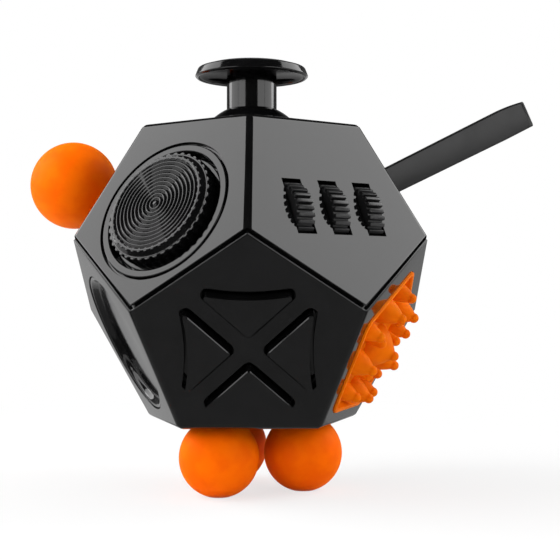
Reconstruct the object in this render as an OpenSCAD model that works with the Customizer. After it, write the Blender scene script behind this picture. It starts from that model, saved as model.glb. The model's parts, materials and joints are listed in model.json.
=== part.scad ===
// Twelve-sided fidget toy for the desk. A hollow dodecahedron in two moulded halves carries a
// different thing to play with on each face. Millimetres, +Z up along the joystick, the cross
// pad faces -Y. The origin lies on the table, under the middle of the body.

/* [Casing] */
// Distance between two opposite faces of the casing
across_flats = 45; // [44:0.5:50]
// Thickness of the casing's wall
wall = 2; // [1.8:0.1:2.4]
// Radius that rounds the casing's edges
edge_round = 1.5; // [0.8:0.1:2]
// Height of the dark seam between the two halves
seam_height = 0.5; // [0.3:0.05:0.8]
// Depth of the dark seam between the two halves
seam_depth = 0.8; // [0.5:0.1:1]

/* [Clearances] */
// Gap round a piece that is glued, pressed or clipped into its seat
fit_gap = 0.1; // [0.05:0.01:0.15]
// Radial gap of a pin in the bore that it turns in
pin_gap = 0.05; // [0.02:0.01:0.09]
// Gap between two pieces that move past each other
move_gap = 0.3; // [0.2:0.05:0.4]
// Gap that shows round a push button
button_gap = 0.5; // [0.3:0.05:0.5]

/* [Screws] */
// Radius of a small screw's shank
screw_r = 0.6; // [0.5:0.05:0.7]
// Radius of a small screw's head
screw_head_r = 1.1; // [0.9:0.05:1.3]
// Height of a small screw's head
screw_head_h = 0.8; // [0.6:0.1:1]
// Depth to which a small screw bites into the wall
screw_bite = 1; // [0.8:0.1:1.2]

/* [Joystick] */
// Radius of the ball-shaped dome that fills the hole in the top
stick_dome_r = 9; // [8.6:0.1:9.2]
// Thickness of the dome
stick_dome_wall = 1.3; // [1:0.1:1.4]
// Depth of the tilting point under the top face
stick_pivot_depth = 5.2; // [5:0.1:5.6]
// Angle from the stick's axis down to the rim of the dome
stick_dome_angle = 72; // [70:1:76]
// Radius of the stem
stick_stem_r = 3.86; // [3:0.1:4.2]
// Height of the cap's widest line over the top face
stick_cap_z = 8.1; // [7:0.1:10]
// Overhang of the cap past the rim of the dome
stick_cap_over = 0.19; // [0:0.01:0.5]
// Height of the cap above its widest line
stick_cap_h = 2.3; // [2.2:0.05:3]
// Squareness of the cap's crown, where 2 is an ellipse
stick_cap_power = 2.4; // [2:0.1:3]
// Height of the bevel under the cap's widest line
stick_cap_edge = 0.3; // [0.2:0.05:0.4]
// Width of the flat rim round the hollow under the cap
stick_cap_rim = 0.5; // [0.4:0.1:0.8]
// Thickness of the cap over its hollow
stick_cap_roof = 0.7; // [0.6:0.05:0.9]
// Height of the stem's shoulder over the cap's widest line
stick_cap_seat = 0.2; // [0:0.05:0.4]
// Radius of the spigot that the cap is pressed on
stick_spigot_r = 2.4; // [1.8:0.1:2.8]
// Length of the spigot above the stem's shoulder
stick_spigot_l = 1.3; // [1:0.1:1.4]
// Radius of the gimbal's pins
stick_pin_r = 0.9; // [0.7:0.05:1]
// Radius of the post that hangs in the gimbal ring
stick_post_r = 2; // [1.6:0.1:2.2]
// Length of the post below the tilting point
stick_post_foot = 1.3; // [1.2:0.1:1.5]
// Inner radius of the gimbal ring
gimbal_r = 3.3; // [3.2:0.1:3.5]
// Width of the gimbal ring's wall
gimbal_wall = 1.8; // [1.6:0.1:2]
// Height of the gimbal ring
gimbal_h = 2.6; // [2.4:0.1:2.8]
// Gap between the gimbal ring and its cradle
gimbal_gap = 0.7; // [0.6:0.1:0.8]
// Width of the cradle ring's wall
cradle_wall = 1.3; // [1.1:0.1:1.4]
// Height of the cradle ring over its bores
cradle_rim = 0.8; // [0.6:0.1:1]
// Radius of the cradle's legs
cradle_leg_r = 1.2; // [1:0.1:1.3]
// Distance of the cradle's legs from the stick's axis
cradle_leg_at = 11; // [10.8:0.1:11.4]
// Depth of the cradle's feet under the top face
cradle_depth = 8.2; // [8:0.1:8.6]
// Thickness of the cradle's arms
cradle_arm_h = 1.2; // [1:0.1:1.4]

/* [Dial] */
// Outer radius of the ring round the dial
bezel_r = 10.75; // [10.3:0.05:10.8]
// Width of the ring's rim round the well that the dial turns in
bezel_rim = 1.08; // [1:0.01:1.2]
// Distance of the dial's axis below the middle of its face
dial_drop = 1.35; // [0.8:0.05:1.5]
// Width of the groove in the casing round the ring
bezel_groove_w = 0.4; // [0.3:0.05:0.5]
// Depth of the groove in the casing round the ring
bezel_groove_depth = 0.5; // [0.3:0.05:0.7]
// Depth of the step that the ring is glued on
bezel_step = 1.2; // [1:0.1:1.4]
// Width of the step that the ring is glued on
bezel_ledge = 0.5; // [0.4:0.1:0.6]
// Depth of the well's floor
bezel_floor_z = 2.3; // [2.2:0.1:2.6]
// Thickness of the well's floor
bezel_floor_h = 1; // [0.8:0.1:1.2]
// Gap between the dial's foot flange and the well
dial_gap = 0.47; // [0.4:0.01:0.6]
// Height of the dial's foot flange
dial_flange_h = 0.9; // [0.6:0.1:1.2]
// Distance of the scalloped grip in from the edge of the foot flange
dial_grip_in = 0.65; // [0.5:0.05:0.8]
// Depth of the scallops in the grip
dial_scallop = 0.45; // [0.2:0.05:0.5]
// Number of scallops in the grip
dial_scallops = 36; // [24:1:40]
// Distance of the dial's flat top in from the scalloped grip
dial_top_in = 0.95; // [0.45:0.05:1.2]
// Height of the dial's top over the face
dial_top_z = 1.9; // [1.5:0.1:2.5]
// Height of the slope between the grip and the top
dial_slope_h = 0.7; // [0.2:0.1:0.8]
// Number of rings in the dial's top
dial_rings = 15; // [6:1:18]
// Depth of the rings in the dial's top
dial_ring_depth = 0.15; // [0.1:0.05:0.25]
// Width of the plain edge round the rings
dial_margin = 0.15; // [0.1:0.05:0.8]
// Radius of the plain spot in the middle of the dial
dial_spot_r = 0.3; // [0.3:0.1:2]
// Radius of the dial's shaft
dial_shaft_r = 2.5; // [2:0.1:3]
// Thickness of the clip that keeps the dial in
dial_clip_h = 0.6; // [0.4:0.1:0.8]
// Outer radius of the clip that keeps the dial in
dial_clip_r = 3.8; // [3.6:0.1:4.2]
// Width of the clip's mouth in proportion to its bore
dial_clip_mouth = 0.8; // [0.6:0.05:0.9]
// Depth of the shaft's groove for the clip
dial_clip_groove = 0.5; // [0.4:0.1:0.6]
// Outer radius of the felt washer under the dial
dial_washer_r = 6; // [5:0.1:7]
// Thickness of the felt washer under the dial
dial_washer_h = 0.25; // [0.15:0.05:0.3]

/* [Gears] */
// Number of teeth on a gear
gear_teeth = 30; // [24:1:36]
// Radius over a gear's teeth
gear_r = 5; // [4.8:0.05:5.1]
// Height of a gear's teeth
gear_tooth_h = 0.55; // [0.5:0.05:0.9]
// Width of a gear
gear_w = 2.7; // [2.4:0.05:2.8]
// Distance from gear to gear along the axle
gear_pitch = 6.3; // [6.2:0.05:6.4]
// Depth of the gears' axle under the face
gear_axle_depth = 3.4; // [3.3:0.05:3.6]
// Radius of the gears' axle
gear_axle_r = 1; // [0.8:0.05:1.2]
// Width of a gear's slot
gear_slot_w = 3.25; // [3.1:0.05:3.4]
// Gap between a gear's teeth and the end of its slot
gear_slot_gap = 0.53; // [0.4:0.01:0.6]
// Distance of the gears below the middle of their face
gear_drop = 1.05; // [0.8:0.05:1.3]
// Thickness of the webs that hold the axle
gear_web = 3; // [2.8:0.1:3.2]
// Width of a web beside the axle's bore
gear_web_side = 1.2; // [1:0.1:1.4]
// Thickness of the gear cradle's rails
gear_rail_h = 1.4; // [1.2:0.1:1.6]
// Width of the gear cradle's rails
gear_rail_w = 2.6; // [2.6:0.1:3]
// Distance of the gear cradle's screws from its middle
gear_screw_at = 7.6; // [7:0.1:8]

/* [Cross pad] */
// Distance of the cross pad's middle below the middle of its face
pad_drop = 0.9; // [0.5:0.1:1.2]
// Distance of a pad button's tip from the middle of the cross
pad_tip = 2.4; // [2.2:0.1:2.8]
// Distance of a pad button's outer edge from the middle of the cross
pad_reach = 9; // [8.5:0.1:9.2]
// Radius of a pad button's corners
pad_corner = 0.45; // [0.45:0.05:1]
// Hollow of a pad button's outer edge
pad_hollow = 0.6; // [0.3:0.05:0.7]
// Height of a pad button over the face
pad_proud = 1.4; // [1.1:0.05:1.8]
// Height of the slope round a pad button's top
pad_slope = 0.15; // [0.1:0.05:0.5]
// Travel of a pad button
pad_travel = 1; // [0.6:0.1:1]
// Height of the lip that keeps a pad button in
pad_lip_h = 0.9; // [0.7:0.1:1.1]
// Width of the lip that keeps a pad button in
pad_lip_w = 0.8; // [0.6:0.1:0.9]
// Radius of the pan behind the cross pad
pad_pan_r = 11.5; // [11.4:0.1:11.6]
// Thickness of the silicone sheet behind the cross pad
pad_sheet_h = 0.6; // [0.4:0.1:0.8]
// Thickness of the pan behind the cross pad
pan_wall = 0.8; // [0.7:0.1:1]
// Radius of the domes in a silicone sheet
sheet_dome_r = 1.6; // [1.2:0.1:1.8]
// Height of the domes in a silicone sheet
sheet_dome_h = 0.4; // [0.3:0.1:0.5]

/* [Massage pad] */
// Distance from the middle of the massage pad to its sides
nub_pad_r = 10.45; // [10:0.05:10.5]
// Distance of the massage pad's middle below the middle of its face
nub_pad_drop = 1.05; // [0.8:0.05:1.2]
// Radius of the massage pad's corners
nub_pad_corner = 1.8; // [1.2:0.1:2.5]
// Depth of the recess that holds the massage pad
nub_pad_depth = 1.3; // [1.2:0.1:1.4]
// Depth of the massage pad's floor under the face
nub_pad_sunk = 0.8; // [0.6:0.1:0.9]
// Width of the massage pad's raised rim
nub_rim_w = 0.7; // [0.5:0.1:0.8]
// Height of the massage pad's raised rim over the face
nub_rim_h = 0.3; // [0.2:0.1:0.6]
// Radius of a nub's round tip
nub_tip_r = 0.75; // [0.6:0.05:0.8]
// Radius of the middle nub
nub_mid_r = 3.6; // [3:0.1:3.8]
// Height of the middle nub over the face
nub_mid_h = 3.8; // [3.5:0.1:5]
// Radius of the side nubs
nub_side_r = 2.1; // [1.8:0.1:2.2]
// Height of the side nubs over the face
nub_side_h = 3.2; // [2.5:0.1:3.5]
// Distance of the side nubs from the middle of the massage pad
nub_side_at = 7.4; // [7.2:0.1:7.5]
// Radius of the corner nubs
nub_corner_r = 1.5; // [1.2:0.1:1.6]
// Height of the corner nubs over the face
nub_corner_h = 2.4; // [2:0.1:3]
// Distance of the corner nubs from the middle of the massage pad
nub_corner_at = 8.9; // [8.6:0.1:9.4]
// Radius of the small inner nubs
nub_inner_r = 0.95; // [0.8:0.05:1]
// Height of the small inner nubs over the face
nub_inner_h = 2.2; // [1.5:0.1:2.5]
// Distance of the small inner nubs from the middle of the massage pad
nub_inner_at = 4.9; // [4.8:0.1:5.2]

/* [Thumb dish] */
// Radius of the thumb dish
dish_r = 11; // [10.5:0.1:11.2]
// Distance of the dish's middle below the middle of its face
dish_drop = 0.4; // [0:0.1:0.8]
// Height of the steep wall round the dish's floor
dish_depth = 0.95; // [0.7:0.05:1]
// Width of the steep wall round the dish's floor
dish_slope_w = 0.6; // [0.4:0.1:0.8]
// Depth to which the dish's floor sags in the middle
dish_sag = 0.3; // [0.2:0.05:0.5]
// Width of the dish's flat rim
dish_rim = 0.5; // [0.4:0.1:0.8]
// Depth of the dish's rim under the face
dish_sunk = 0.15; // [0.1:0.05:0.3]
// Thickness of the dish in the middle
dish_floor = 1; // [0.8:0.1:1.2]
// Width of the step that the dish is glued on
dish_ledge = 1; // [0.8:0.1:1.4]
// Depth of the step that the dish is glued on
dish_step = 1.2; // [1:0.1:1.4]

/* [Silicone balls] */
// Radius of the ball on the side
side_ball_r = 7; // [6:0.1:7.5]
// Height of the side ball's middle over its face
side_ball_z = 11.3; // [10:0.1:12]
// Distance of the side ball below the middle of its face
side_ball_drop = 0.65; // [0:0.05:1]
// Radius of the side ball's neck
side_neck_r = 3.2; // [2.5:0.1:4]
// Radius of the neck's foot on the face
side_foot_r = 4.6; // [4.2:0.1:5]
// Height of the neck's foot on the face
side_foot_h = 1; // [0.8:0.1:1.4]
// Radius of a foot ball
foot_ball_r = 6; // [5.5:0.1:6.2]
// Height of a foot ball's middle over the bottom face
foot_ball_z = 4.9; // [4.8:0.1:5.4]
// Distance of the foot balls from the middle of the bottom face
foot_ball_at = 8.1; // [7.8:0.1:8.4]
// Depth to which a foot ball is pressed flat on the table
foot_flat = 0.25; // [0.1:0.05:0.4]
// Shift of the three foot balls to the left
foot_shift = 0.2; // [0:0.1:0.6]
// Angle by which the three foot balls are turned
foot_turn = 4; // [0:1:8]
// Radius of a silicone plug in the wall
plug_r = 2.2; // [1.8:0.1:2.4]
// Radius of a silicone plug's head behind the wall
plug_head_r = 3; // [2.8:0.1:3.1]
// Height of a silicone plug's head behind the wall
plug_head_h = 1.1; // [0.8:0.1:1.4]
// Thickness of the washers and plates behind the wall
washer_h = 1; // [0.8:0.1:1.2]
// Radius of the washers behind the wall
washer_r = 5.5; // [5:0.1:6]
// Radius of the plate behind the bottom face
foot_plate_r = 11.2; // [11:0.1:11.3]

/* [Flick tab] */
// Length of the tab outside the casing
tab_l = 32.4; // [25:0.1:36]
// Width of the tab at the casing
tab_w = 4.35; // [4:0.05:4.6]
// Distance by which the tab's lower edge falls toward its end
tab_flare = 0.55; // [0:0.05:0.8]
// Thickness of the tab
tab_h = 1.5; // [1.2:0.1:2]
// Distance of the tab above the middle of its face
tab_rise = 3.2; // [3:0.1:4]
// Length of the bent stretch at the tab's end
tab_bend_l = 5.5; // [4:0.5:8]
// Fall of the tab's upper edge over the bent stretch
tab_high_bend = 0.45; // [0:0.05:0.8]
// Gap where the tab starts to bend at its root
tab_root_gap = 0.3; // [0.2:0.05:0.4]
// Distance by which the tab's anchor is wider than its slot
anchor_lip = 1.2; // [0.8:0.1:1.6]

/* [Rocker switch] */
// Width of the rocker
rocker_w = 8; // [7:0.1:8.5]
// Length of the rocker
rocker_l = 13; // [12:0.1:13.5]
// Width of the frame round the rocker
rocker_frame = 1.4; // [1.2:0.1:1.6]
// Distance of the rocker below the middle of its face
rocker_drop = 0.6; // [0.4:0.1:0.8]
// Angle between the rocker's two positions
rocker_swing = 18; // [12:1:20]
// Depth of the rocker's axle under the face
rocker_axle_depth = 2.6; // [2.4:0.1:2.8]
// Radius of the rocker's axle
rocker_axle_r = 0.9; // [0.7:0.05:1]
// Height of the rocker's ridge over the face
rocker_proud = 0.5; // [0.3:0.1:1]
// Distance by which a rocker's end slants in towards its axle
rocker_slant = 0.6; // [0.4:0.1:0.8]
// Radius of the rocker frame's corners
rocker_corner = 1.2; // [0.8:0.1:1.5]
// Depth of the rocker's belly under its axle
rocker_belly = 1.5; // [1.3:0.1:1.7]
// Depth of the rocker frame's box under the face
rocker_box = 5.7; // [5.6:0.1:6]
// Thickness of the leaf spring under the rocker
leaf_h = 0.4; // [0.3:0.05:0.5]

/* [Click buttons] */
// Radius of a click button
click_r = 2.3; // [2:0.1:2.5]
// Distance of the outer click buttons from the middle one, each way
click_at = 4.6; // [4.4:0.1:4.8]
// Distance of the click buttons below the middle of their face
click_drop = 0.8; // [0.5:0.1:1]
// Height of a click button over the face
click_proud = 1.7; // [1.2:0.1:2]
// Travel of a click button
click_travel = 1; // [0.6:0.1:1]
// Width of a click button's lip
click_lip_w = 0.3; // [0.3:0.05:0.4]
// Height of a click button's lip
click_lip_h = 0.8; // [0.6:0.1:1]
// Height of the dome on a click button
click_dome = 0.5; // [0.3:0.1:0.8]
// Radius of the pan behind the click buttons
click_pan_r = 10.7; // [10.6:0.1:10.8]

/* [Slide switch] */
// Length of the slide switch's plate
slide_l = 19; // [18:0.5:20]
// Width of the slide switch's plate
slide_w = 8; // [7:0.5:9]
// Travel of the slide switch's knob
slide_travel = 7; // [5:0.5:7.5]
// Distance of the slide switch below the middle of its face
slide_drop = 1; // [0.5:0.1:1.2]
// Depth of the trough that the knob runs in
slide_trough = 1; // [0.8:0.1:1.2]
// Thickness of the trough's floor
slide_floor = 0.9; // [0.8:0.1:1.1]
// Length of the knob
slide_knob_l = 4.4; // [4:0.1:5]
// Width of the knob
slide_knob_w = 5; // [4.4:0.1:5.4]
// Height of the knob over the face
slide_knob_z = 1.2; // [0.8:0.1:2]
// Width of the knob's neck in the slot
slide_neck_w = 2.2; // [1.8:0.1:2.6]
// Distance by which the knob's plate is wider than its neck on each side
slide_lip = 1; // [0.8:0.1:1.2]
// Radius of the knob's corners
slide_corner = 0.8; // [0.5:0.1:1]
// Width of a ridge on the knob
slide_ridge_w = 0.6; // [0.4:0.1:0.8]
// Height of a ridge on the knob
slide_ridge_h = 0.3; // [0.2:0.05:0.4]
// Distance from ridge to ridge on the knob
slide_ridge_at = 1.3; // [1.1:0.1:1.5]
// Distance of the keeper's edge from the edge of the plate
slide_inset = 0.5; // [0.4:0.1:0.8]
// Thickness of the knob's plate behind the trough
slide_plate_h = 0.8; // [0.6:0.1:1]

/* [Hidden] */

$fn = 64;
// A size larger than the whole part
big = 200;
// Overlap that makes a cut run clear of a face
over = 1;

// Elevation of the casing's upper row of side faces
row_el = atan(0.5);
// Half of the angle between the normals of two neighbouring faces
half_fold = (90 - row_el) / 2;
in_r = across_flats / 2;
centre_z = in_r + foot_ball_z + foot_ball_r - foot_flat;
// Edge of the sharp dodecahedron
edge_l = in_r / sqrt((25 + 11 * sqrt(5)) / 40);
// Radius and height of the belt's corners from the middle of the body
belt_r = edge_l * sqrt((5 + 2 * sqrt(5)) / 5);
belt_z = edge_l * sqrt((5 - sqrt(5)) / 10) / 2;

// Where each toy sits: azimuth and elevation of its face
AT_TOP = [0, 90];
AT_BOTTOM = [0, -90];
AT_DIAL = [-36, row_el];
AT_GEARS = [36, row_el];
AT_BALL = [-108, row_el];
AT_TAB = [108, row_el];
AT_ROCKER = [180, row_el];
AT_CROSS = [0, -row_el];
AT_DISH = [-72, -row_el];
AT_NUBS = [72, -row_el];
AT_CLICK = [144, -row_el];
AT_SLIDE = [-144, -row_el];

INK = [0.06, 0.06, 0.065];
SHELL = [0.17, 0.17, 0.18];
SOFT_BLACK = [0.22, 0.22, 0.225];
ORANGE = [1, 0.42, 0.02];
MILKY = [0.75, 0.75, 0.72];
STEEL = [0.68, 0.69, 0.7];
FELT = [0.3, 0.3, 0.3];

// Unit vector of a face, an edge or a corner seen from the middle of the body
function unit(v) = v / norm(v);
function aim(az, el) = [cos(el) * sin(az), -cos(el) * cos(az), sin(el)];
function az_of(v) = atan2(v[0], -v[1]);
function el_of(v) = asin(v[2] / norm(v));

function around(a) = [cos(a), sin(a)];

// Points of an arc
function arc(c, r, from, to, steps) =
    [for (i = [0:steps]) c + r * around(from + (to - from) * i / steps)];

// A convex outline with its corners rounded by radius r
function rounded(p, r, steps = 5) = [
    for (i = [0:len(p) - 1])
        let (
            here = p[i],
            back = unit(p[(i + len(p) - 1) % len(p)] - here),
            ahead = unit(p[(i + 1) % len(p)] - here),
            half = acos(back * ahead) / 2,
            c = here + unit(back + ahead) * r / sin(half),
            t0 = here + back * r / tan(half) - c,
            t1 = here + ahead * r / tan(half) - c,
            a0 = atan2(t0[1], t0[0]),
            turn = (atan2(t1[1], t1[0]) - a0 + 540) % 360 - 180
        )
        each arc(c, r, a0, a0 + turn, steps)
];
function box(w, l) = [[-w, -l] / 2, [w, -l] / 2, [w, l] / 2, [-w, l] / 2];
function pentagon(r, first) = [for (i = [0:4]) r / cos(36) * around(first + 72 * i)];

// Puts children on a face: z = 0 is the face's plane, z points out, y points up along the face
module on_face(at, drop = 0) {
    translate([0, 0, centre_z])
        rotate([90 - at[1], 0, at[0]])
            translate([0, -drop, in_r])
                children();
}

// A slab between two parallel planes on either side of the middle of the body
module slab(v, half) {
    translate([0, 0, centre_z])
        rotate([90 - el_of(v), 0, az_of(v)])
            cube([big, big, 2 * half], center = true);
}

// One normal of each pair of opposite faces
FACE_DIRS = [aim(0, 90), for (i = [0:4]) aim(36 + 72 * i, row_el)];
ALL_DIRS = [for (v = FACE_DIRS) each [v, -v]];
// A direction that no edge or corner lies square to, which picks one of each opposite pair
PICK = [0.1, 0.3, 1];
// Three planes on each edge, which round it in four steps
EDGE_STEPS = [1 / 4, 1 / 2, 3 / 4];
function edge_dirs(t) = [
    for (i = [0:10])
        for (j = [i + 1:11])
            let (a = ALL_DIRS[i], b = ALL_DIRS[j])
                if (a * b > 0 && (a + b) * PICK > 0)
                    unit(sin((1 - t) * 2 * half_fold) * a + sin(t * 2 * half_fold) * b)
];

// A plane across each corner, which rounds it
CORNER_DIRS = [
    for (i = [0:9])
        for (j = [i + 1:10])
            for (k = [j + 1:11])
                let (a = ALL_DIRS[i], b = ALL_DIRS[j], c = ALL_DIRS[k], out = a + b + c)
                    if (a * b > 0 && b * c > 0 && c * a > 0 && out * PICK > 0)
                        unit(out)
];

// A sharp dodecahedron with inscribed radius r
module dodecahedron(r) {
    intersection_for (v = FACE_DIRS)
        slab(v, r);
}

// The casing's outside
module casing_form() {
    edge_at = (in_r - edge_round) / cos(half_fold);
    corner_at = (in_r - edge_round) / in_r * norm([belt_r, belt_z]) + edge_round;
    intersection() {
        dodecahedron(in_r);
        intersection_for (t = EDGE_STEPS)
            intersection_for (v = edge_dirs(t))
                slab(v, edge_at * cos((1 - 2 * t) * half_fold) + edge_round);
        intersection_for (v = CORNER_DIRS)
            slab(v, corner_at);
    }
}

// Everything above the zigzag belt, moved up by lift
module above_belt(lift) {
    spread = 3;
    belt = [for (i = [0:9])
        let (a = 36 * i, s = i % 2 == 0 ? 1 : -1)
            spread * [belt_r * sin(a), -belt_r * cos(a), s * belt_z]];
    top = [0, 0, 2 * spread * in_r];
    points = [[0, 0, 0], top, each belt];
    faces = [for (i = [0:9]) let (j = (i + 1) % 10) each [[0, 2 + j, 2 + i], [1, 2 + i, 2 + j]]];
    translate([0, 0, centre_z + lift])
        polyhedron(points, [for (f = faces) [f[2], f[1], f[0]]]);
}

module casing_shell() {
    difference() {
        casing_form();
        dodecahedron(in_r - wall);
    }
}

// A hole from outside through the wall, with an optional wider step
module wall_hole(r) {
    translate([0, 0, -wall - over])
        cylinder(r = r, h = wall + 2 * over);
}
module wall_step(r, depth) {
    translate([0, 0, -depth])
        cylinder(r = r, h = depth + over);
}
module plate(outline, from, to) {
    translate([0, 0, from])
        linear_extrude(to - from)
            polygon(outline);
}
module ring(r_in, r_out, from, to) {
    translate([0, 0, from])
        difference() {
            cylinder(r = r_out, h = to - from);
            translate([0, 0, -over])
                cylinder(r = r_in, h = to - from + 2 * over);
        }
}

// A screw whose head lies under z = 0 and whose shank rises by l
module screw(l) {
    translate([0, 0, -screw_head_h])
        cylinder(r = screw_head_r, h = screw_head_h);
    cylinder(r = screw_r, h = l);
}

// Holes that the upper half gives its toys
module upper_holes() {
    on_face(AT_TOP)
        translate([0, 0, -stick_pivot_depth])
            sphere(r = stick_dome_r + move_gap);
    on_face(AT_TOP)
        cradle_places(-wall - over)
            cylinder(r = screw_r + pin_gap, h = over + screw_bite);
    on_face(AT_DIAL, dial_drop) {
        wall_hole(bezel_r - bezel_ledge + fit_gap);
        wall_step(bezel_r + fit_gap, bezel_step);
        wall_step(bezel_r + bezel_groove_w, bezel_groove_depth);
    }
    on_face(AT_GEARS, gear_drop) {
        for (i = [-1:1])
            translate([i * gear_pitch - gear_slot_w / 2, 0, -gear_axle_depth])
                rotate([0, 90, 0])
                    cylinder(r = gear_r + gear_slot_gap, h = gear_slot_w);
        gear_screw_places(-wall - over)
            cylinder(r = screw_r + pin_gap, h = over + screw_bite);
    }
    on_face(AT_BALL, side_ball_drop)
        wall_hole(plug_r + fit_gap);
    on_face(AT_TAB, -tab_rise)
        plate(box(tab_h + 2 * fit_gap, tab_w + 2 * fit_gap), -wall - over, over);
    on_face(AT_ROCKER, rocker_drop)
        plate(rounded(rocker_outer(fit_gap), rocker_corner + fit_gap), -wall - over, over);
}

// Holes that the lower half gives its toys
module lower_holes() {
    on_face(AT_CROSS, pad_drop)
        for (turn = [0:90:270])
            rotate(turn)
                pad_prism(button_gap, -wall - over, over);
    on_face(AT_DISH, dish_drop) {
        wall_hole(dish_r - dish_ledge + fit_gap);
        wall_step(dish_r + fit_gap, dish_step);
    }
    on_face(AT_NUBS, nub_pad_drop) {
        wall_hole(plug_r + fit_gap);
        plate(nub_outline(fit_gap), -nub_pad_depth, over);
    }
    on_face(AT_BOTTOM)
        foot_places() {
            wall_hole(plug_r + fit_gap);
            translate([0, 0, foot_ball_z])
                sphere(r = foot_ball_r + fit_gap);
        }
    on_face(AT_CLICK, click_drop)
        click_places()
            wall_hole(click_r + button_gap);
    on_face(AT_SLIDE, slide_drop)
        plate(slide_outline(fit_gap), -wall - over, over);
}

module upper_casing() {
    color(SHELL)
        difference() {
            intersection() {
                casing_shell();
                union() {
                    above_belt(seam_height);
                    intersection() {
                        above_belt(fit_gap / 2);
                        dodecahedron(in_r - seam_depth);
                    }
                }
            }
            upper_holes();
        }
}

module lower_casing() {
    color(SHELL)
        difference() {
            casing_shell();
            above_belt(-fit_gap / 2);
            lower_holes();
        }
}

// Joystick
cradle_r = gimbal_r + gimbal_wall + gimbal_gap;
stick_cap_r = stick_dome_r * sin(stick_dome_angle) + stick_cap_over;
cap_seat_z = stick_cap_z + stick_cap_seat;
CAP_STEPS = 14;

// The three legs of the cradle stand under corners of the top face
module cradle_places(z) {
    for (a = [-90, 54, 198])
        rotate(a)
            translate([cradle_leg_at, 0, z])
                children();
}

// A quarter of a squared ellipse, from the top of its crown down to height 0
function crown(r, h) =
    let (power = 2 / stick_cap_power)
        [for (i = [0:CAP_STEPS])
            let (a = 90 * i / CAP_STEPS) [r * pow(sin(a), power), h * pow(cos(a), power)]];

// A hollow cap with a boss that is pressed on the stem's spigot
module joystick_cap() {
    color(INK)
        on_face(AT_TOP)
            translate([0, 0, stick_cap_z])
                difference() {
                    union() {
                        difference() {
                            rotate_extrude()
                                polygon([
                                    each crown(stick_cap_r, stick_cap_h),
                                    [stick_cap_r - stick_cap_edge, -stick_cap_edge],
                                    [0, -stick_cap_edge]
                                ]);
                            translate([0, 0, -stick_cap_edge])
                                rotate_extrude()
                                    polygon([
                                        each crown(stick_cap_r - stick_cap_rim,
                                            stick_cap_h + stick_cap_edge - stick_cap_roof),
                                        [stick_cap_r - stick_cap_rim, -over],
                                        [0, -over]
                                    ]);
                        }
                        translate([0, 0, stick_cap_seat])
                            cylinder(r = stick_stem_r, h = stick_cap_h - stick_cap_roof / 2 - stick_cap_seat);
                    }
                    translate([0, 0, stick_cap_seat - over])
                        cylinder(r = stick_spigot_r + fit_gap, h = stick_spigot_l + fit_gap + over);
                }
}

module joystick_stem() {
    rim_z = stick_dome_r * cos(stick_dome_angle);
    shoulder_z = sqrt(pow(stick_dome_r, 2) - pow(stick_stem_r, 2));
    color(INK)
        on_face(AT_TOP)
            translate([0, 0, -stick_pivot_depth])
                union() {
                    difference() {
                        sphere(r = stick_dome_r);
                        sphere(r = stick_dome_r - stick_dome_wall);
                        translate([-big / 2, -big / 2, rim_z - big])
                            cube(big);
                    }
                    translate([0, 0, shoulder_z - stick_dome_wall / 2])
                        cylinder(r = stick_stem_r, h = stick_pivot_depth + cap_seat_z - shoulder_z
                            + stick_dome_wall / 2);
                    cylinder(r = stick_spigot_r, h = stick_pivot_depth + cap_seat_z + stick_spigot_l);
                    translate([0, 0, -stick_post_foot])
                        cylinder(r = stick_post_r, h = stick_post_foot + stick_dome_r - stick_dome_wall / 2);
                    rotate([0, 90, 0])
                        cylinder(r = stick_pin_r, h = 2 * (gimbal_r + gimbal_wall), center = true);
                }
}

module joystick_gimbal() {
    pin_l = cradle_r + cradle_wall - gimbal_r;
    color(STEEL)
        on_face(AT_TOP)
            translate([0, 0, -stick_pivot_depth])
                difference() {
                    union() {
                        ring(gimbal_r, gimbal_r + gimbal_wall, -gimbal_h / 2, gimbal_h / 2);
                        for (a = [90, -90])
                            rotate([a, 0, 0])
                                translate([0, 0, gimbal_r + gimbal_wall / 2])
                                    cylinder(r = stick_pin_r, h = pin_l - gimbal_wall / 2);
                    }
                    rotate([0, 90, 0])
                        cylinder(r = stick_pin_r + pin_gap, h = big, center = true);
                }
}

module joystick_cradle() {
    ring_top = stick_pin_r + cradle_rim;
    foot_z = stick_pivot_depth - cradle_depth;
    bore_l = cradle_r + cradle_wall + fit_gap;
    arm_l = cradle_leg_at - cradle_r - cradle_wall / 2;
    color(SOFT_BLACK)
        on_face(AT_TOP)
            difference() {
                union() {
                    translate([0, 0, -stick_pivot_depth])
                        ring(cradle_r, cradle_r + cradle_wall, foot_z, ring_top);
                    cradle_places(-cradle_depth) {
                        cylinder(r = cradle_leg_r, h = cradle_depth - wall);
                        translate([-arm_l, -cradle_leg_r, 0])
                            cube([arm_l, 2 * cradle_leg_r, cradle_arm_h]);
                    }
                }
                translate([0, 0, -stick_pivot_depth])
                    rotate([90, 0, 0])
                        cylinder(r = stick_pin_r + pin_gap, h = 2 * bore_l, center = true);
                cradle_places(-cradle_depth - over)
                    cylinder(r = screw_r + fit_gap, h = cradle_depth);
            }
}

module joystick_screws() {
    color(STEEL)
        on_face(AT_TOP)
            cradle_places(-cradle_depth)
                screw(cradle_depth - wall + screw_bite - fit_gap);
}

// Dial
bezel_well_r = bezel_r - bezel_rim;
dial_flange_r = bezel_well_r - dial_gap;
dial_grip_r = dial_flange_r - dial_grip_in;
dial_top_r = dial_grip_r - dial_top_in;
clip_z = bezel_floor_z + bezel_floor_h + dial_washer_h;
dial_under = bezel_floor_z - dial_washer_h - pin_gap;

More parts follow.
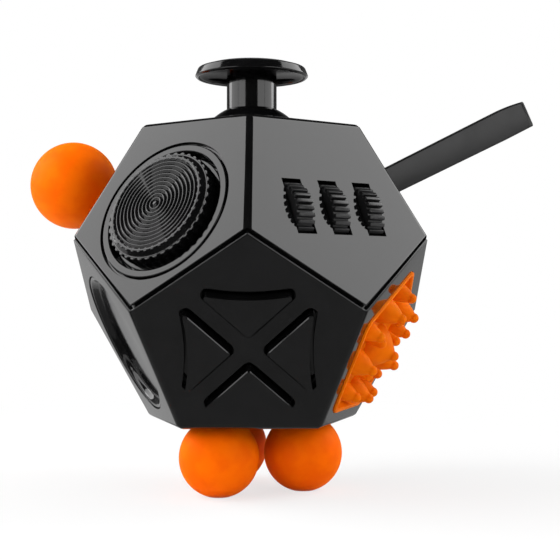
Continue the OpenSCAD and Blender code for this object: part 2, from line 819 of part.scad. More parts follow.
module dial_bezel() {
    under = bezel_floor_z + bezel_floor_h;
    color(SHELL)
        on_face(AT_DIAL, dial_drop)
            difference() {
                union() {
                    ring(bezel_well_r - over, bezel_r, -bezel_step, 0);
                    ring(dial_shaft_r + pin_gap, bezel_r - bezel_ledge, -under, -bezel_step / 2);
                }
                translate([0, 0, -bezel_floor_z])
                    cylinder(r = bezel_well_r, h = bezel_floor_z + over);
            }
}

// One wave of the grip for each scallop
module dial_grip(from, to) {
    steps = 6 * dial_scallops;
    wave = [for (i = [0:steps - 1])
        let (a = 360 * i / steps, r = dial_grip_r + dial_scallop / 2 * cos(a * dial_scallops))
            r * around(a)];
    plate(wave, from, to);
}

module dial_disc() {
    slope_z = dial_top_z - dial_slope_h;
    step = (dial_top_r - dial_margin - dial_spot_r) / dial_rings;
    grooves = [for (i = [dial_rings - 1:-1:0])
        let (r = dial_spot_r + i * step)
            each [[r + step, dial_top_z], [r + step / 2, dial_top_z - dial_ring_depth], [r, dial_top_z]]];
    shaft_l = clip_z + dial_clip_h + dial_clip_groove - dial_under;
    color(INK)
        on_face(AT_DIAL, dial_drop)
            difference() {
                union() {
                    translate([0, 0, -dial_under])
                        cylinder(r = dial_flange_r, h = dial_flange_h);
                    dial_grip(-dial_under + dial_flange_h / 2, slope_z);
                    rotate_extrude()
                        polygon([
                            [0, -dial_under + dial_flange_h / 2],
                            [dial_top_r, -dial_under + dial_flange_h / 2],
                            [dial_grip_r - dial_scallop / 2 - fit_gap, slope_z],
                            [dial_top_r, dial_top_z],
                            each grooves,
                            [0, dial_top_z]
                        ]);
                    translate([0, 0, -dial_under - shaft_l])
                        cylinder(r = dial_shaft_r, h = shaft_l + dial_flange_h / 2);
                }
                ring(dial_shaft_r - dial_clip_groove, dial_shaft_r + over, -clip_z - dial_clip_h, -clip_z);
            }
}

// A spring clip, open on one side, in the groove of the dial's shaft
module dial_clip() {
    clip_r = dial_shaft_r - dial_clip_groove + fit_gap;
    mouth = clip_r * dial_clip_mouth;
    color(STEEL)
        on_face(AT_DIAL, dial_drop)
            difference() {
                ring(clip_r, dial_clip_r, -clip_z - dial_clip_h + fit_gap / 2, -clip_z - fit_gap / 2);
                translate([0, -mouth, -big / 2])
                    cube([big, 2 * mouth, big]);
            }
}

module dial_washer() {
    color(FELT)
        on_face(AT_DIAL, dial_drop)
            ring(dial_shaft_r + move_gap, dial_washer_r, -bezel_floor_z, -bezel_floor_z + dial_washer_h);
}

// Gears
gear_span = 3 * gear_pitch + gear_web;
gear_rail_y = gear_r + gear_slot_gap + gear_rail_w / 2 + move_gap;
// Half widths of a tooth at its foot and at its tip, in tooth pitches
TOOTH_FOOT = 0.4;
TOOTH_TIP = 0.31;

module gear_screw_places(z) {
    for (x = [-1, 1])
        for (y = [-1, 1])
            translate([x * gear_screw_at, y * gear_rail_y, z])
                children();
}

// A straight-toothed wheel with its axis along x
module gear_wheel(i) {
    pitch = 360 / gear_teeth;
    root_r = gear_r - gear_tooth_h;
    outline = [for (k = [0:gear_teeth - 1]) each [
        root_r * around((k - TOOTH_FOOT) * pitch),
        gear_r * around((k - TOOTH_TIP) * pitch),
        gear_r * around((k + TOOTH_TIP) * pitch),
        root_r * around((k + TOOTH_FOOT) * pitch)
    ]];
    color(INK)
        on_face(AT_GEARS, gear_drop)
            translate([i * gear_pitch, 0, -gear_axle_depth])
                rotate([0, 90, 0])
                    difference() {
                        plate(outline, -gear_w / 2, gear_w / 2);
                        cylinder(r = gear_axle_r + pin_gap, h = big, center = true);
                    }
}
module gear_wheel_1() { gear_wheel(-1); }
module gear_wheel_2() { gear_wheel(0); }
module gear_wheel_3() { gear_wheel(1); }

module gear_axle() {
    color(STEEL)
        on_face(AT_GEARS, gear_drop)
            translate([0, 0, -gear_axle_depth])
                rotate([0, 90, 0])
                    cylinder(r = gear_axle_r, h = gear_span, center = true);
}

module gear_cradle() {
    bore_r = gear_axle_r + pin_gap / 2;
    web_z = gear_axle_depth + gear_axle_r + gear_web_side;
    web_y = gear_axle_r + gear_web_side;
    color(SOFT_BLACK)
        intersection() {
            dodecahedron(in_r - wall);
            on_face(AT_GEARS, gear_drop)
                difference() {
                    union() {
                        for (y = [-1, 1])
                            translate([0, y * gear_rail_y, 0])
                                plate(box(gear_span, gear_rail_w), -wall - gear_rail_h, over);
                        for (i = [-1.5:1:1.5])
                            translate([i * gear_pitch, 0, 0]) {
                                plate(box(gear_web, 2 * gear_rail_y), -wall - gear_rail_h, over);
                                plate(box(gear_web, 2 * web_y), -web_z, over);
                            }
                    }
                    translate([0, 0, -gear_axle_depth])
                        rotate([0, 90, 0])
                            cylinder(r = bore_r, h = big, center = true);
                    gear_screw_places(-wall - gear_rail_h - over)
                        cylinder(r = screw_r + fit_gap, h = gear_rail_h + 2 * over);
                }
        }
}

module gear_screws() {
    color(STEEL)
        on_face(AT_GEARS, gear_drop)
            gear_screw_places(-wall - gear_rail_h)
                screw(gear_rail_h + screw_bite - fit_gap);
}

// Cross pad
pad_rest = wall + fit_gap;
pad_sheet_z = pad_rest + pad_lip_h + pad_travel + fit_gap;
pad_mid = (pad_tip + 2 * pad_reach) / 3;

// Outline of the upper pad button, grown by g
function pad_outline(g) =
    let (tip = pad_tip - g * sqrt(2), reach = pad_reach + g, half = reach - tip)
        rounded([[0, tip], [half, reach], [-half, reach]], pad_corner + g);

module pad_prism(g, from, to) {
    half = pad_reach - pad_tip - pad_corner;
    hollow_r = (half * half + pad_hollow * pad_hollow) / (2 * pad_hollow);
    difference() {
        plate(pad_outline(g), from, to);
        translate([0, pad_reach - pad_hollow + hollow_r + g, from - over])
            cylinder(r = hollow_r, h = to - from + 2 * over, $fn = 128);
    }
}

// One button: prism, sloped top and the lip that keeps it in the wall
module pad_button(turn) {
    shrink = 1 - pad_slope / (pad_reach - pad_mid);
    color(INK)
        on_face(AT_CROSS, pad_drop)
            rotate(turn)
                union() {
                    pad_prism(0, -pad_rest - pad_lip_h / 2, pad_proud - pad_slope);
                    intersection() {
                        pad_prism(0, 0, pad_proud);
                        translate([0, pad_mid, pad_proud - pad_slope - fit_gap])
                            linear_extrude(pad_slope + fit_gap, scale = shrink)
                                translate([0, -pad_mid])
                                    polygon(pad_outline(fit_gap));
                    }
                    intersection() {
                        pad_prism(button_gap + pad_lip_w, -pad_rest - pad_lip_h, -pad_rest);
                        translate([0, 0, -pad_sheet_z])
                            cylinder(r = pad_pan_r - pan_wall - move_gap, h = pad_sheet_z);
                    }
                }
}
module pad_button_top() { pad_button(0); }
module pad_button_right() { pad_button(270); }
module pad_button_bottom() { pad_button(180); }
module pad_button_left() { pad_button(90); }

// A silicone sheet with domes, which lies in a pan behind the buttons
module button_sheet(r, z, h) {
    translate([0, 0, -z - sheet_dome_h - h])
        cylinder(r = r, h = h);
    translate([0, 0, -z - sheet_dome_h - h / 2])
        children();
}
module sheet_dome() {
    cylinder(r1 = sheet_dome_r, r2 = sheet_dome_r - sheet_dome_h, h = sheet_dome_h + pad_sheet_h / 2);
}
module button_pan(r, z) {
    difference() {
        translate([0, 0, -z - pan_wall])
            cylinder(r = r, h = z + pan_wall - wall);
        translate([0, 0, -z])
            cylinder(r = r - pan_wall, h = z);
    }
}

module pad_sheet() {
    color(MILKY)
        on_face(AT_CROSS, pad_drop)
            button_sheet(pad_pan_r - pan_wall - fit_gap, pad_sheet_z, pad_sheet_h)
                for (turn = [0:90:270])
                    rotate(turn)
                        translate([0, pad_mid, 0])
                            sheet_dome();
}
module pad_pan() {
    color(SOFT_BLACK)
        on_face(AT_CROSS, pad_drop)
            button_pan(pad_pan_r, pad_sheet_z + sheet_dome_h + pad_sheet_h);
}

// Massage pad
function nub_outline(g) = rounded(pentagon(nub_pad_r + g, 90), nub_pad_corner + g);
// Angle from a nub's tip, level with its middle, down to its neck
NUB_NECK = 15;
// Power that makes a nub's flank bulge
NUB_BULGE = 1.6;
NUB_STEPS = 5;
// Place, radius and height of each nub
NUBS = [
    [[0, 0], nub_mid_r, nub_mid_h],
    for (i = [0:4]) [nub_side_at * around(126 + 72 * i), nub_side_r, nub_side_h],
    for (i = [0:4]) [nub_corner_at * around(90 + 72 * i), nub_corner_r, nub_corner_h],
    for (i = [0:4]) [nub_inner_at * around(90 + 72 * i), nub_inner_r, nub_inner_h]
];

// A nub bulges up from the pad's floor to a neck with a round tip on it
module nub(r, h) {
    middle = [0, h - nub_tip_r];
    neck = middle + nub_tip_r * around(-NUB_NECK);
    foot = -(nub_pad_sunk + nub_pad_depth) / 2;
    flank = [for (i = [0:NUB_STEPS - 1])
        let (t = i / NUB_STEPS)
            [r + (neck[0] - r) * pow(t, NUB_BULGE), -nub_pad_sunk + (neck[1] + nub_pad_sunk) * t]];
    rotate_extrude($fn = 24)
        polygon([[0, foot], [r, foot], each flank, each arc(middle, nub_tip_r, -NUB_NECK, 90, NUB_STEPS)]);
}

// A plug through the wall, with a head behind it
module wall_plug(washer, from) {
    head_z = wall + washer + fit_gap;
    translate([0, 0, -head_z - plug_head_h])
        cylinder(r = plug_r, h = head_z + plug_head_h + from);
    translate([0, 0, -head_z - plug_head_h])
        cylinder(r = plug_head_r, h = plug_head_h);
}

module massage_pad() {
    color(ORANGE)
        on_face(AT_NUBS, nub_pad_drop)
            union() {
                plate(nub_outline(0), -nub_pad_depth, -nub_pad_sunk);
                difference() {
                    plate(nub_outline(0), -nub_pad_depth, nub_rim_h);
                    plate(nub_outline(-nub_rim_w), -nub_pad_depth - over, big);
                }
                for (n = NUBS)
                    translate(n[0])
                        nub(n[1], n[2]);
                wall_plug(washer_h, -nub_pad_depth / 2);
            }
}
module massage_washer() {
    color(STEEL)
        on_face(AT_NUBS, nub_pad_drop)
            ring(plug_r + fit_gap, washer_r, -wall - washer_h, -wall);
}

// Thumb dish
// A shallow pan: a flat rim, a steep wall and a floor that sags to the middle
module thumb_dish() {
    hollow_r = dish_r - dish_rim;
    floor_r = hollow_r - dish_slope_w;
    bowl_r = (floor_r * floor_r + dish_sag * dish_sag) / (2 * dish_sag);
    low = dish_sunk + dish_depth + dish_sag;
    color(SHELL)
        on_face(AT_DISH, dish_drop)
            difference() {
                union() {
                    translate([0, 0, -dish_step])
                        cylinder(r = dish_r, h = dish_step - dish_sunk);
                    translate([0, 0, -low - dish_floor])
                        cylinder(r = dish_r - dish_ledge, h = dish_floor + low - dish_step / 2);
                }
                rotate_extrude()
                    polygon([
                        each arc([0, bowl_r - low], bowl_r, -90, asin(floor_r / bowl_r) - 90, 6),
                        [hollow_r, -dish_sunk],
                        [hollow_r, over],
                        [0, over]
                    ]);
            }
}

// Silicone balls
module side_ball() {
    color(ORANGE)
        on_face(AT_BALL, side_ball_drop)
            union() {
                translate([0, 0, side_ball_z])
                    sphere(r = side_ball_r);
                cylinder(r = side_neck_r, h = side_ball_z);
                translate([0, 0, fit_gap])
                    cylinder(r1 = side_foot_r, r2 = side_neck_r, h = side_foot_h);
                wall_plug(washer_h, side_foot_h);
            }
}
module side_ball_washer() {
    color(STEEL)
        on_face(AT_BALL, side_ball_drop)
            ring(plug_r + fit_gap, washer_r, -wall - washer_h, -wall);
}

module foot_places(which = [0, 1, 2]) {
    for (i = which)
        translate([-foot_shift, 0, 0])
            rotate(120 * i + foot_turn)
                translate([foot_ball_at, 0, 0])
                    children();
}
module foot_ball(i) {
    flat_z = foot_ball_z + foot_ball_r - foot_flat;
    color(ORANGE)
        on_face(AT_BOTTOM)
            foot_places([i])
                union() {
                    difference() {
                        translate([0, 0, foot_ball_z])
                            sphere(r = foot_ball_r);
                        translate([-big / 2, -big / 2, flat_z])
                            cube(big);
                    }
                    wall_plug(washer_h, foot_ball_z);
                }
}
module foot_ball_1() { foot_ball(0); }
module foot_ball_2() { foot_ball(1); }
module foot_ball_3() { foot_ball(2); }
module foot_plate() {
    color(STEEL)
        on_face(AT_BOTTOM)
            difference() {
                translate([0, 0, -wall - washer_h])
                    cylinder(r = foot_plate_r, h = washer_h);
                foot_places()
                    translate([0, 0, -big / 2])
                        cylinder(r = plug_r + fit_gap, h = big);
            }
}

// Flick tab: a flat strip that stands out of its face, with its end bent a little to one side
module flick_tab() {
    straight = tab_l - tab_bend_l;
    near = tab_w / 2;
    low = -near - tab_flare;
    high = [for (t = [1:-0.25:0]) [near - t * t * tab_high_bend, straight + t * tab_bend_l]];
    color(SOFT_BLACK)
        on_face(AT_TAB, -tab_rise)
            rotate([90, 0, 90])
                translate([0, 0, -tab_h / 2])
                    linear_extrude(tab_h)
                        polygon([
                            [-near, tab_root_gap],
                            [low, straight],
                            [low, tab_l],
                            each high,
                            [near, tab_root_gap]
                        ]);
}
module tab_anchor() {
    bar_z = wall + fit_gap;
    color(SOFT_BLACK)
        on_face(AT_TAB, -tab_rise)
            union() {
                plate(box(tab_h, tab_w), -bar_z - tab_h / 2, 0);
                plate(box(tab_h + 2 * anchor_lip, tab_w + 2 * anchor_lip), -bar_z - tab_h, -bar_z);
            }
}

// Rocker switch
rocker_side = rocker_frame + move_gap;
function rocker_outer(g) = box(rocker_w + 2 * (rocker_side + g), rocker_l + 2 * (rocker_side + g));

// The rocker rests with its lower end pressed in, and its upper end swings in by rocker_swing
module rocker() {
    tilt = rocker_swing / 2;
    half = rocker_l / 2;
    ridge = rocker_axle_depth + rocker_proud;
    wing_y = (half - (ridge + half * tan(tilt)) * sin(tilt)) / cos(tilt);
    wing = ridge + wing_y * tan(tilt);
    color(INK)
        on_face(AT_ROCKER, rocker_drop)
            translate([0, 0, -rocker_axle_depth])
                rotate([tilt, 0, 0])
                    difference() {
                        rotate([90, 0, 90])
                            translate([0, 0, -rocker_w / 2])
                                linear_extrude(rocker_w)
                                    polygon([
                                        [-wing_y, wing],
                                        [0, ridge],
                                        [wing_y, wing],
                                        [half - rocker_slant, 0],
                                        [rocker_belly, -rocker_belly],
                                        [-rocker_belly, -rocker_belly],
                                        [rocker_slant - half, 0]
                                    ]);
                        rotate([0, 90, 0])
                            cylinder(r = rocker_axle_r + pin_gap, h = big, center = true);
                    }
}
module rocker_frame_box() {
    color(SHELL)
        on_face(AT_ROCKER, rocker_drop)
            difference() {
                plate(rounded(rocker_outer(0), rocker_corner), -rocker_box, 0);
                plate(box(rocker_w + 2 * move_gap, rocker_l + 2 * move_gap), -rocker_box + pan_wall, over);
                translate([0, 0, -rocker_axle_depth])
                    rotate([0, 90, 0])
                        cylinder(r = rocker_axle_r + pin_gap / 2, h = big, center = true);
            }
}
module rocker_axle() {
    color(STEEL)
        on_face(AT_ROCKER, rocker_drop)
            translate([0, 0, -rocker_axle_depth])
                rotate([0, 90, 0])
                    cylinder(r = rocker_axle_r, h = rocker_w + 2 * rocker_side, center = true);
}
module rocker_leaf() {
    color(STEEL)
        on_face(AT_ROCKER, rocker_drop)
            plate(box(rocker_w / 2, rocker_l), -rocker_box + pan_wall, -rocker_box + pan_wall + leaf_h);
}

// Click buttons, placed as the five on a die
CLICK_PLACES = [[0, 0], [-1, 1], [1, 1], [1, -1], [-1, -1]];
click_rest = wall + fit_gap;
click_sheet_z = click_rest + click_lip_h + click_travel + fit_gap;

module click_places(which = [0:4]) {
    for (i = which)
        translate(click_at * [CLICK_PLACES[i][0], CLICK_PLACES[i][1], 0])
            children();
}
module click_button(i) {
    dome_r = (click_r * click_r + click_dome * click_dome) / (2 * click_dome);
    color(i == 0 ? ORANGE : INK)
        on_face(AT_CLICK, click_drop)
            click_places([i])
                union() {
                    intersection() {
                        translate([0, 0, -click_rest - click_lip_h / 2])
                            cylinder(r = click_r, h = click_rest + click_lip_h / 2 + click_proud);
                        translate([0, 0, click_proud - dome_r])
                            sphere(r = dome_r);
                    }
                    translate([0, 0, -click_rest - click_lip_h])
                        cylinder(r = click_r + button_gap + click_lip_w, h = click_lip_h);
                }
}
module click_button_1() { click_button(0); }
module click_button_2() { click_button(1); }
module click_button_3() { click_button(2); }
module click_button_4() { click_button(3); }
module click_button_5() { click_button(4); }
module click_sheet() {
    color(MILKY)
        on_face(AT_CLICK, click_drop)
            button_sheet(click_pan_r - pan_wall - fit_gap, click_sheet_z, pad_sheet_h)
                click_places()
                    sheet_dome();
}
module click_pan() {
    color(SOFT_BLACK)
        on_face(AT_CLICK, click_drop)
            button_pan(click_pan_r, click_sheet_z + sheet_dome_h + pad_sheet_h);
}

// Slide switch
function slide_outline(g) = rounded(box(slide_l + 2 * g, slide_w + 2 * g), slide_w / 4 + g);
slide_floor_z = slide_trough + slide_floor;

// The knob rests at the left end of its trough
module slide_knob() {
    plate_z = slide_floor_z + pin_gap;
    top = rounded(box(slide_knob_l, slide_knob_w), slide_corner);
    ridge = box(slide_ridge_w, slide_knob_w - slide_corner);
    foot = box(slide_knob_l, slide_neck_w + 2 * slide_lip);
    color(ORANGE)
        on_face(AT_SLIDE, slide_drop)
            translate([-slide_travel / 2, 0, 0])
                union() {
                    plate(top, pin_gap - slide_trough, slide_knob_z);
                    for (x = [-1:1])
                        translate([x * slide_ridge_at, 0, 0])
                            plate(ridge, 0, slide_knob_z + slide_ridge_h);
                    plate(box(slide_neck_w, slide_neck_w), -plate_z - slide_plate_h / 2, 0);
                    plate(foot, -plate_z - slide_plate_h, -plate_z);
                }
}
module slide_plate() {
    trough_l = slide_knob_l + slide_travel + 2 * move_gap;
    slot_l = slide_neck_w + slide_travel + 2 * move_gap;
    color(SHELL)
        on_face(AT_SLIDE, slide_drop)
            difference() {
                plate(slide_outline(0), -slide_floor_z, 0);
                plate(rounded(box(trough_l, slide_knob_w + 2 * move_gap), slide_corner), -slide_trough, over);
                plate(box(slot_l, slide_neck_w + 2 * pin_gap), -big, over);
            }
}
module slide_keeper() {
    room_l = slide_knob_l + slide_travel + 2 * move_gap;
    room_w = slide_neck_w + 2 * (slide_lip + move_gap);
    deep = slide_floor_z + slide_plate_h + 2 * pin_gap + fit_gap;
    color(SOFT_BLACK)
        on_face(AT_SLIDE, slide_drop)
            difference() {
                plate(slide_outline(-slide_inset), -deep - pan_wall, -slide_floor_z);
                plate(box(room_l, room_w), -deep, over);
            }
}

upper_casing();
lower_casing();
joystick_cap();
joystick_stem();
joystick_gimbal();
joystick_cradle();
joystick_screws();
dial_bezel();
dial_disc();
dial_clip();
dial_washer();
gear_wheel_1();
gear_wheel_2();
gear_wheel_3();
gear_axle();
gear_cradle();
gear_screws();
pad_button_top();
pad_button_right();
pad_button_bottom();
pad_button_left();
pad_sheet();
pad_pan();
massage_pad();
massage_washer();
thumb_dish();
side_ball();
side_ball_washer();
flick_tab();
tab_anchor();
foot_ball_1();
foot_ball_2();
foot_ball_3();
foot_plate();
rocker();
rocker_frame_box();
rocker_axle();
rocker_leaf();
click_button_1();
click_button_2();
click_button_3();
click_button_4();
click_button_5();
click_sheet();
click_pan();
slide_knob();
slide_plate();
slide_keeper();
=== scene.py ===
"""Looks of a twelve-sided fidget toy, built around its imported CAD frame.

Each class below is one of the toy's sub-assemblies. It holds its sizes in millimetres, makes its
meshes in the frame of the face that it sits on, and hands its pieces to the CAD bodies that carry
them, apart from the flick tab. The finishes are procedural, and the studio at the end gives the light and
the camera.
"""

import functools
import itertools
import json
import logging
import math
from collections.abc import Sequence
from dataclasses import dataclass
from enum import Enum

import bmesh
import bpy
from bmesh.types import BMesh, BMVert
from bpy.types import Material, Mesh, NodeSocket, NodeTree, Object
from mathutils import Matrix, Vector

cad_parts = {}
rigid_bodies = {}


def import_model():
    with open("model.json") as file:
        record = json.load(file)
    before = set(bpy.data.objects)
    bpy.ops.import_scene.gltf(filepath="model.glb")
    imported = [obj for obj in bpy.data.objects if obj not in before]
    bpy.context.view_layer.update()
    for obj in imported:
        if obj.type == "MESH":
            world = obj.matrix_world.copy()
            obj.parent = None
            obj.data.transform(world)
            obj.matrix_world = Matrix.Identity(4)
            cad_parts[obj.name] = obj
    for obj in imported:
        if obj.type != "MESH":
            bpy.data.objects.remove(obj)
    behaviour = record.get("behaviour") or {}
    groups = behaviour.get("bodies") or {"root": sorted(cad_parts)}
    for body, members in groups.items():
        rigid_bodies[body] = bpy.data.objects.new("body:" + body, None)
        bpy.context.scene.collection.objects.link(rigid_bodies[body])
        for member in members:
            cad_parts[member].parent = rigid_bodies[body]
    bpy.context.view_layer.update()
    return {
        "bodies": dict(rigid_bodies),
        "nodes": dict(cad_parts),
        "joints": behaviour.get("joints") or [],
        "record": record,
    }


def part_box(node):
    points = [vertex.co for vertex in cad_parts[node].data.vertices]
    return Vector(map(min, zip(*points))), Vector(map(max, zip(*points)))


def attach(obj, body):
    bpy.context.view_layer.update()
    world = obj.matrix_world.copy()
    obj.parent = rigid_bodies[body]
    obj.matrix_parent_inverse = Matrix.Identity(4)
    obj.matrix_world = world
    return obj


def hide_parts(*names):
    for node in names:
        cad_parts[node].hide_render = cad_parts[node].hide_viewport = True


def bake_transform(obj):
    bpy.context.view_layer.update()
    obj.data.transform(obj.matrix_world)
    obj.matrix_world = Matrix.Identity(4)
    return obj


LOG = logging.getLogger("fidget_toy")

MM = 0.001
# Elevation of the casing's upper row of side faces, in degrees
ROW_EL = math.degrees(math.atan(0.5))
# Two points closer than this are one point, in metres
MERGE_DISTANCE = 2e-6
# Faces that turn by less than this many degrees are one flat face
FLAT_ANGLE = 0.2
# A radius below this lies on the axis, in millimetres
ON_AXIS = 1e-6
# A corner is straight if half its angle is this near a right angle, in radians
STRAIGHT = 0.05
# The largest share of a side that a fillet takes at each end
FILLET_SHARE = 0.45
# Edges of soft pieces that turn by more than this many degrees stay sharp
SOFT_CREASE = 70
# Number of faces round a turned piece
FINE_STEPS = 128
COARSE_STEPS = 64
# Number of steps in a broken edge
EDGE_STEPS = 3
# How light spreads inside the soft finishes: its weight, and the reach of red, green and blue
INNER_LIGHT = 0.2
INNER_REACH = (1.0, 0.35, 0.1)
SHEEN_ROUGHNESS = 0.4

Colour = tuple[float, float, float]
Point = tuple[float, float]
Outline = list[Point]


class Face(Enum):
    """The casing's faces that carry a toy, as azimuth and elevation in degrees."""

    TOP = (0.0, 90.0)
    BOTTOM = (0.0, -90.0)
    DIAL = (-36.0, ROW_EL)
    GEARS = (36.0, ROW_EL)
    BALL = (-108.0, ROW_EL)
    TAB = (108.0, ROW_EL)
    ROCKER = (180.0, ROW_EL)
    CROSS = (0.0, -ROW_EL)
    DISH = (-72.0, -ROW_EL)
    NUBS = (72.0, -ROW_EL)
    CLICK = (144.0, -ROW_EL)
    SLIDE = (-144.0, -ROW_EL)


class Slot(Enum):
    """The record's material slots."""

    CASING = "casing_plastic"
    BLACK = "black_plastic"
    INNER = "inner_plastic"
    ORANGE_SOFT = "orange_silicone"
    ORANGE_HARD = "orange_plastic"
    BLACK_SOFT = "black_silicone"
    MILKY = "milky_silicone"
    STEEL = "steel"
    FELT = "felt"


# Node trees


class NodeBoard:
    """A node tree under construction."""

    def __init__(self, tree: NodeTree) -> None:
        """Takes a tree in hand.

        Args:
            tree: The tree to add nodes to.
        """
        self.tree = tree
        self.new = tree.nodes.new

    def join(self, value: object, pin: NodeSocket) -> None:
        """Gives an input its value.

        Args:
            value: A socket to link, or a value to set.
            pin: The input.
        """
        if isinstance(value, NodeSocket):
            self.tree.links.new(value, pin)
        else:
            pin.default_value = value

    def maths(self, operation: str, *values: object) -> NodeSocket:
        """Adds a node that works out a number.

        Args:
            operation: What it does.
            values: What it works on, numbers or sockets.

        Returns:
            The result.
        """
        node = self.new("ShaderNodeMath")
        node.operation = operation
        for value, pin in zip(values, node.inputs):
            self.join(value, pin)
        return node.outputs[0]

    def noise(self, vector: NodeSocket, scale: NodeSocket, detail: float) -> NodeSocket:
        """Adds a noise texture.

        Args:
            vector: Where the texture is read.
            scale: How fine it is.
            detail: How many finer layers it has.

        Returns:
            The noise as a value from 0 to 1.
        """
        node = self.new("ShaderNodeTexNoise")
        for label, value in (("Vector", vector), ("Scale", scale), ("Detail", detail)):
            self.join(value, node.inputs[label])
        return node.outputs["Fac"]

    def remap(
        self, value: NodeSocket, low: float, high: float, to_low: object = 0.0, to_high: object = 1.0
    ) -> NodeSocket:
        """Maps a value from one range to another, smoothly and clamped.

        Args:
            value: The value to map.
            low: Start of its range.
            high: End of its range.
            to_low: What the start becomes, a number or a socket.
            to_high: What the end becomes, a number or a socket.

        Returns:
            The mapped value.
        """
        node = self.new("ShaderNodeMapRange")
        node.interpolation_type = "SMOOTHSTEP"
        bounds = {"Value": value, "From Min": low, "From Max": high, "To Min": to_low, "To Max": to_high}
        for label, bound in bounds.items():
            self.join(bound, node.inputs[label])
        return node.outputs["Result"]


class ShaderGroup(NodeBoard):
    """A shader node group that is read at a place and turns numbers into numbers."""

    def __init__(self, name: str, inputs: dict[str, float], outputs: Sequence[str]) -> None:
        """Makes the group and its sockets.

        Args:
            name: Name of the group.
            inputs: Each number that goes in, with its default.
            outputs: Each number that comes out.
        """
        super().__init__(bpy.data.node_groups.new(name, "ShaderNodeTree"))
        socket = self.tree.interface.new_socket
        socket("Vector", in_out="INPUT", socket_type="NodeSocketVector")
        for label, default in inputs.items():
            socket(label, in_out="INPUT", socket_type="NodeSocketFloat").default_value = default
        for label in outputs:
            socket(label, in_out="OUTPUT", socket_type="NodeSocketFloat")
        self.pins = self.new("NodeGroupInput").outputs
        self.sink = self.new("NodeGroupOutput").inputs

    def give(self, results: dict[str, NodeSocket]) -> NodeTree:
        """Links what comes out.

        Args:
            results: The socket behind each output.

        Returns:
            The finished group.
        """
        for label, value in results.items():
            self.join(value, self.sink[label])
        return self.tree


@functools.cache
def moulded_skin() -> NodeTree:
    """Builds the skin of a moulded piece: fine relief, soft mottling and traces of handling.

    Returns:
        A group with the outputs Mottle, Roughness and Height.
    """
    group = ShaderGroup(
        "moulded_skin",
        {
            "Grain Scale": 2000.0,
            "Mottle Scale": 300.0,
            "Smudge Scale": 90.0,
            "Roughness Clean": 0.1,
            "Roughness Touched": 0.2,
        },
        ("Mottle", "Roughness", "Height"),
    )
    pins = group.pins
    grain = group.noise(pins["Vector"], pins["Grain Scale"], detail=2.0)
    mottle = group.noise(pins["Vector"], pins["Mottle Scale"], detail=3.0)
    smudge = group.noise(pins["Vector"], pins["Smudge Scale"], detail=5.0)
    handled = group.remap(
        smudge, low=0.5, high=0.75, to_low=pins["Roughness Clean"], to_high=pins["Roughness Touched"]
    )
    mottled = group.remap(mottle, low=0.35, high=0.65)
    return group.give({"Mottle": mottled, "Roughness": handled, "Height": grain})


@functools.cache
def turned_steel() -> NodeTree:
    """Builds the fine scratches of a drawn or turned metal piece.

    Returns:
        A group with the outputs Roughness and Height.
    """
    group = ShaderGroup(
        "turned_steel",
        {"Scratch Scale": 4000.0, "Roughness Low": 0.2, "Roughness High": 0.4},
        ("Roughness", "Height"),
    )
    pins = group.pins
    scratch = group.noise(pins["Vector"], pins["Scratch Scale"], detail=6.0)
    rough = group.remap(
        scratch, low=0.3, high=0.7, to_low=pins["Roughness Low"], to_high=pins["Roughness High"]
    )
    return group.give({"Roughness": rough, "Height": scratch})


class SkinnedMaterial(NodeBoard):
    """A material whose roughness and bump come from a skin group."""

    def __init__(
        self, name: str, group: NodeTree, settings: dict[str, float], grain: float, relief: float
    ) -> None:
        """Makes the material and links the skin to its shader.

        Args:
            name: Name of the material.
            group: The skin, with the outputs Roughness and Height.
            settings: What goes into the skin.
            grain: Size of the bumps in millimetres.
            relief: Strength of the bumps.
        """
        self.material = bpy.data.materials.new(name)
        self.material.use_nodes = True
        super().__init__(self.material.node_tree)
        self.shader = self.tree.nodes["Principled BSDF"].inputs
        node = self.new("ShaderNodeGroup")
        node.node_tree = group
        self.skin = node.outputs
        self.join(self.new("ShaderNodeTexCoord").outputs["Object"], node.inputs["Vector"])
        for label, value in settings.items():
            self.join(value, node.inputs[label])
        bump = self.new("ShaderNodeBump")
        bumps = {"Strength": relief, "Distance": grain * MM, "Height": self.skin["Height"]}
        for label, value in bumps.items():
            self.join(value, bump.inputs[label])
        self.set({"Roughness": self.skin["Roughness"], "Normal": bump.outputs["Normal"]})

    def set(self, values: dict[str, object]) -> None:
        """Gives the shader's inputs their values.

        Args:
            values: A number, colour or socket for each input.
        """
        for label, value in values.items():
            self.join(value, self.shader[label])


# Finishes


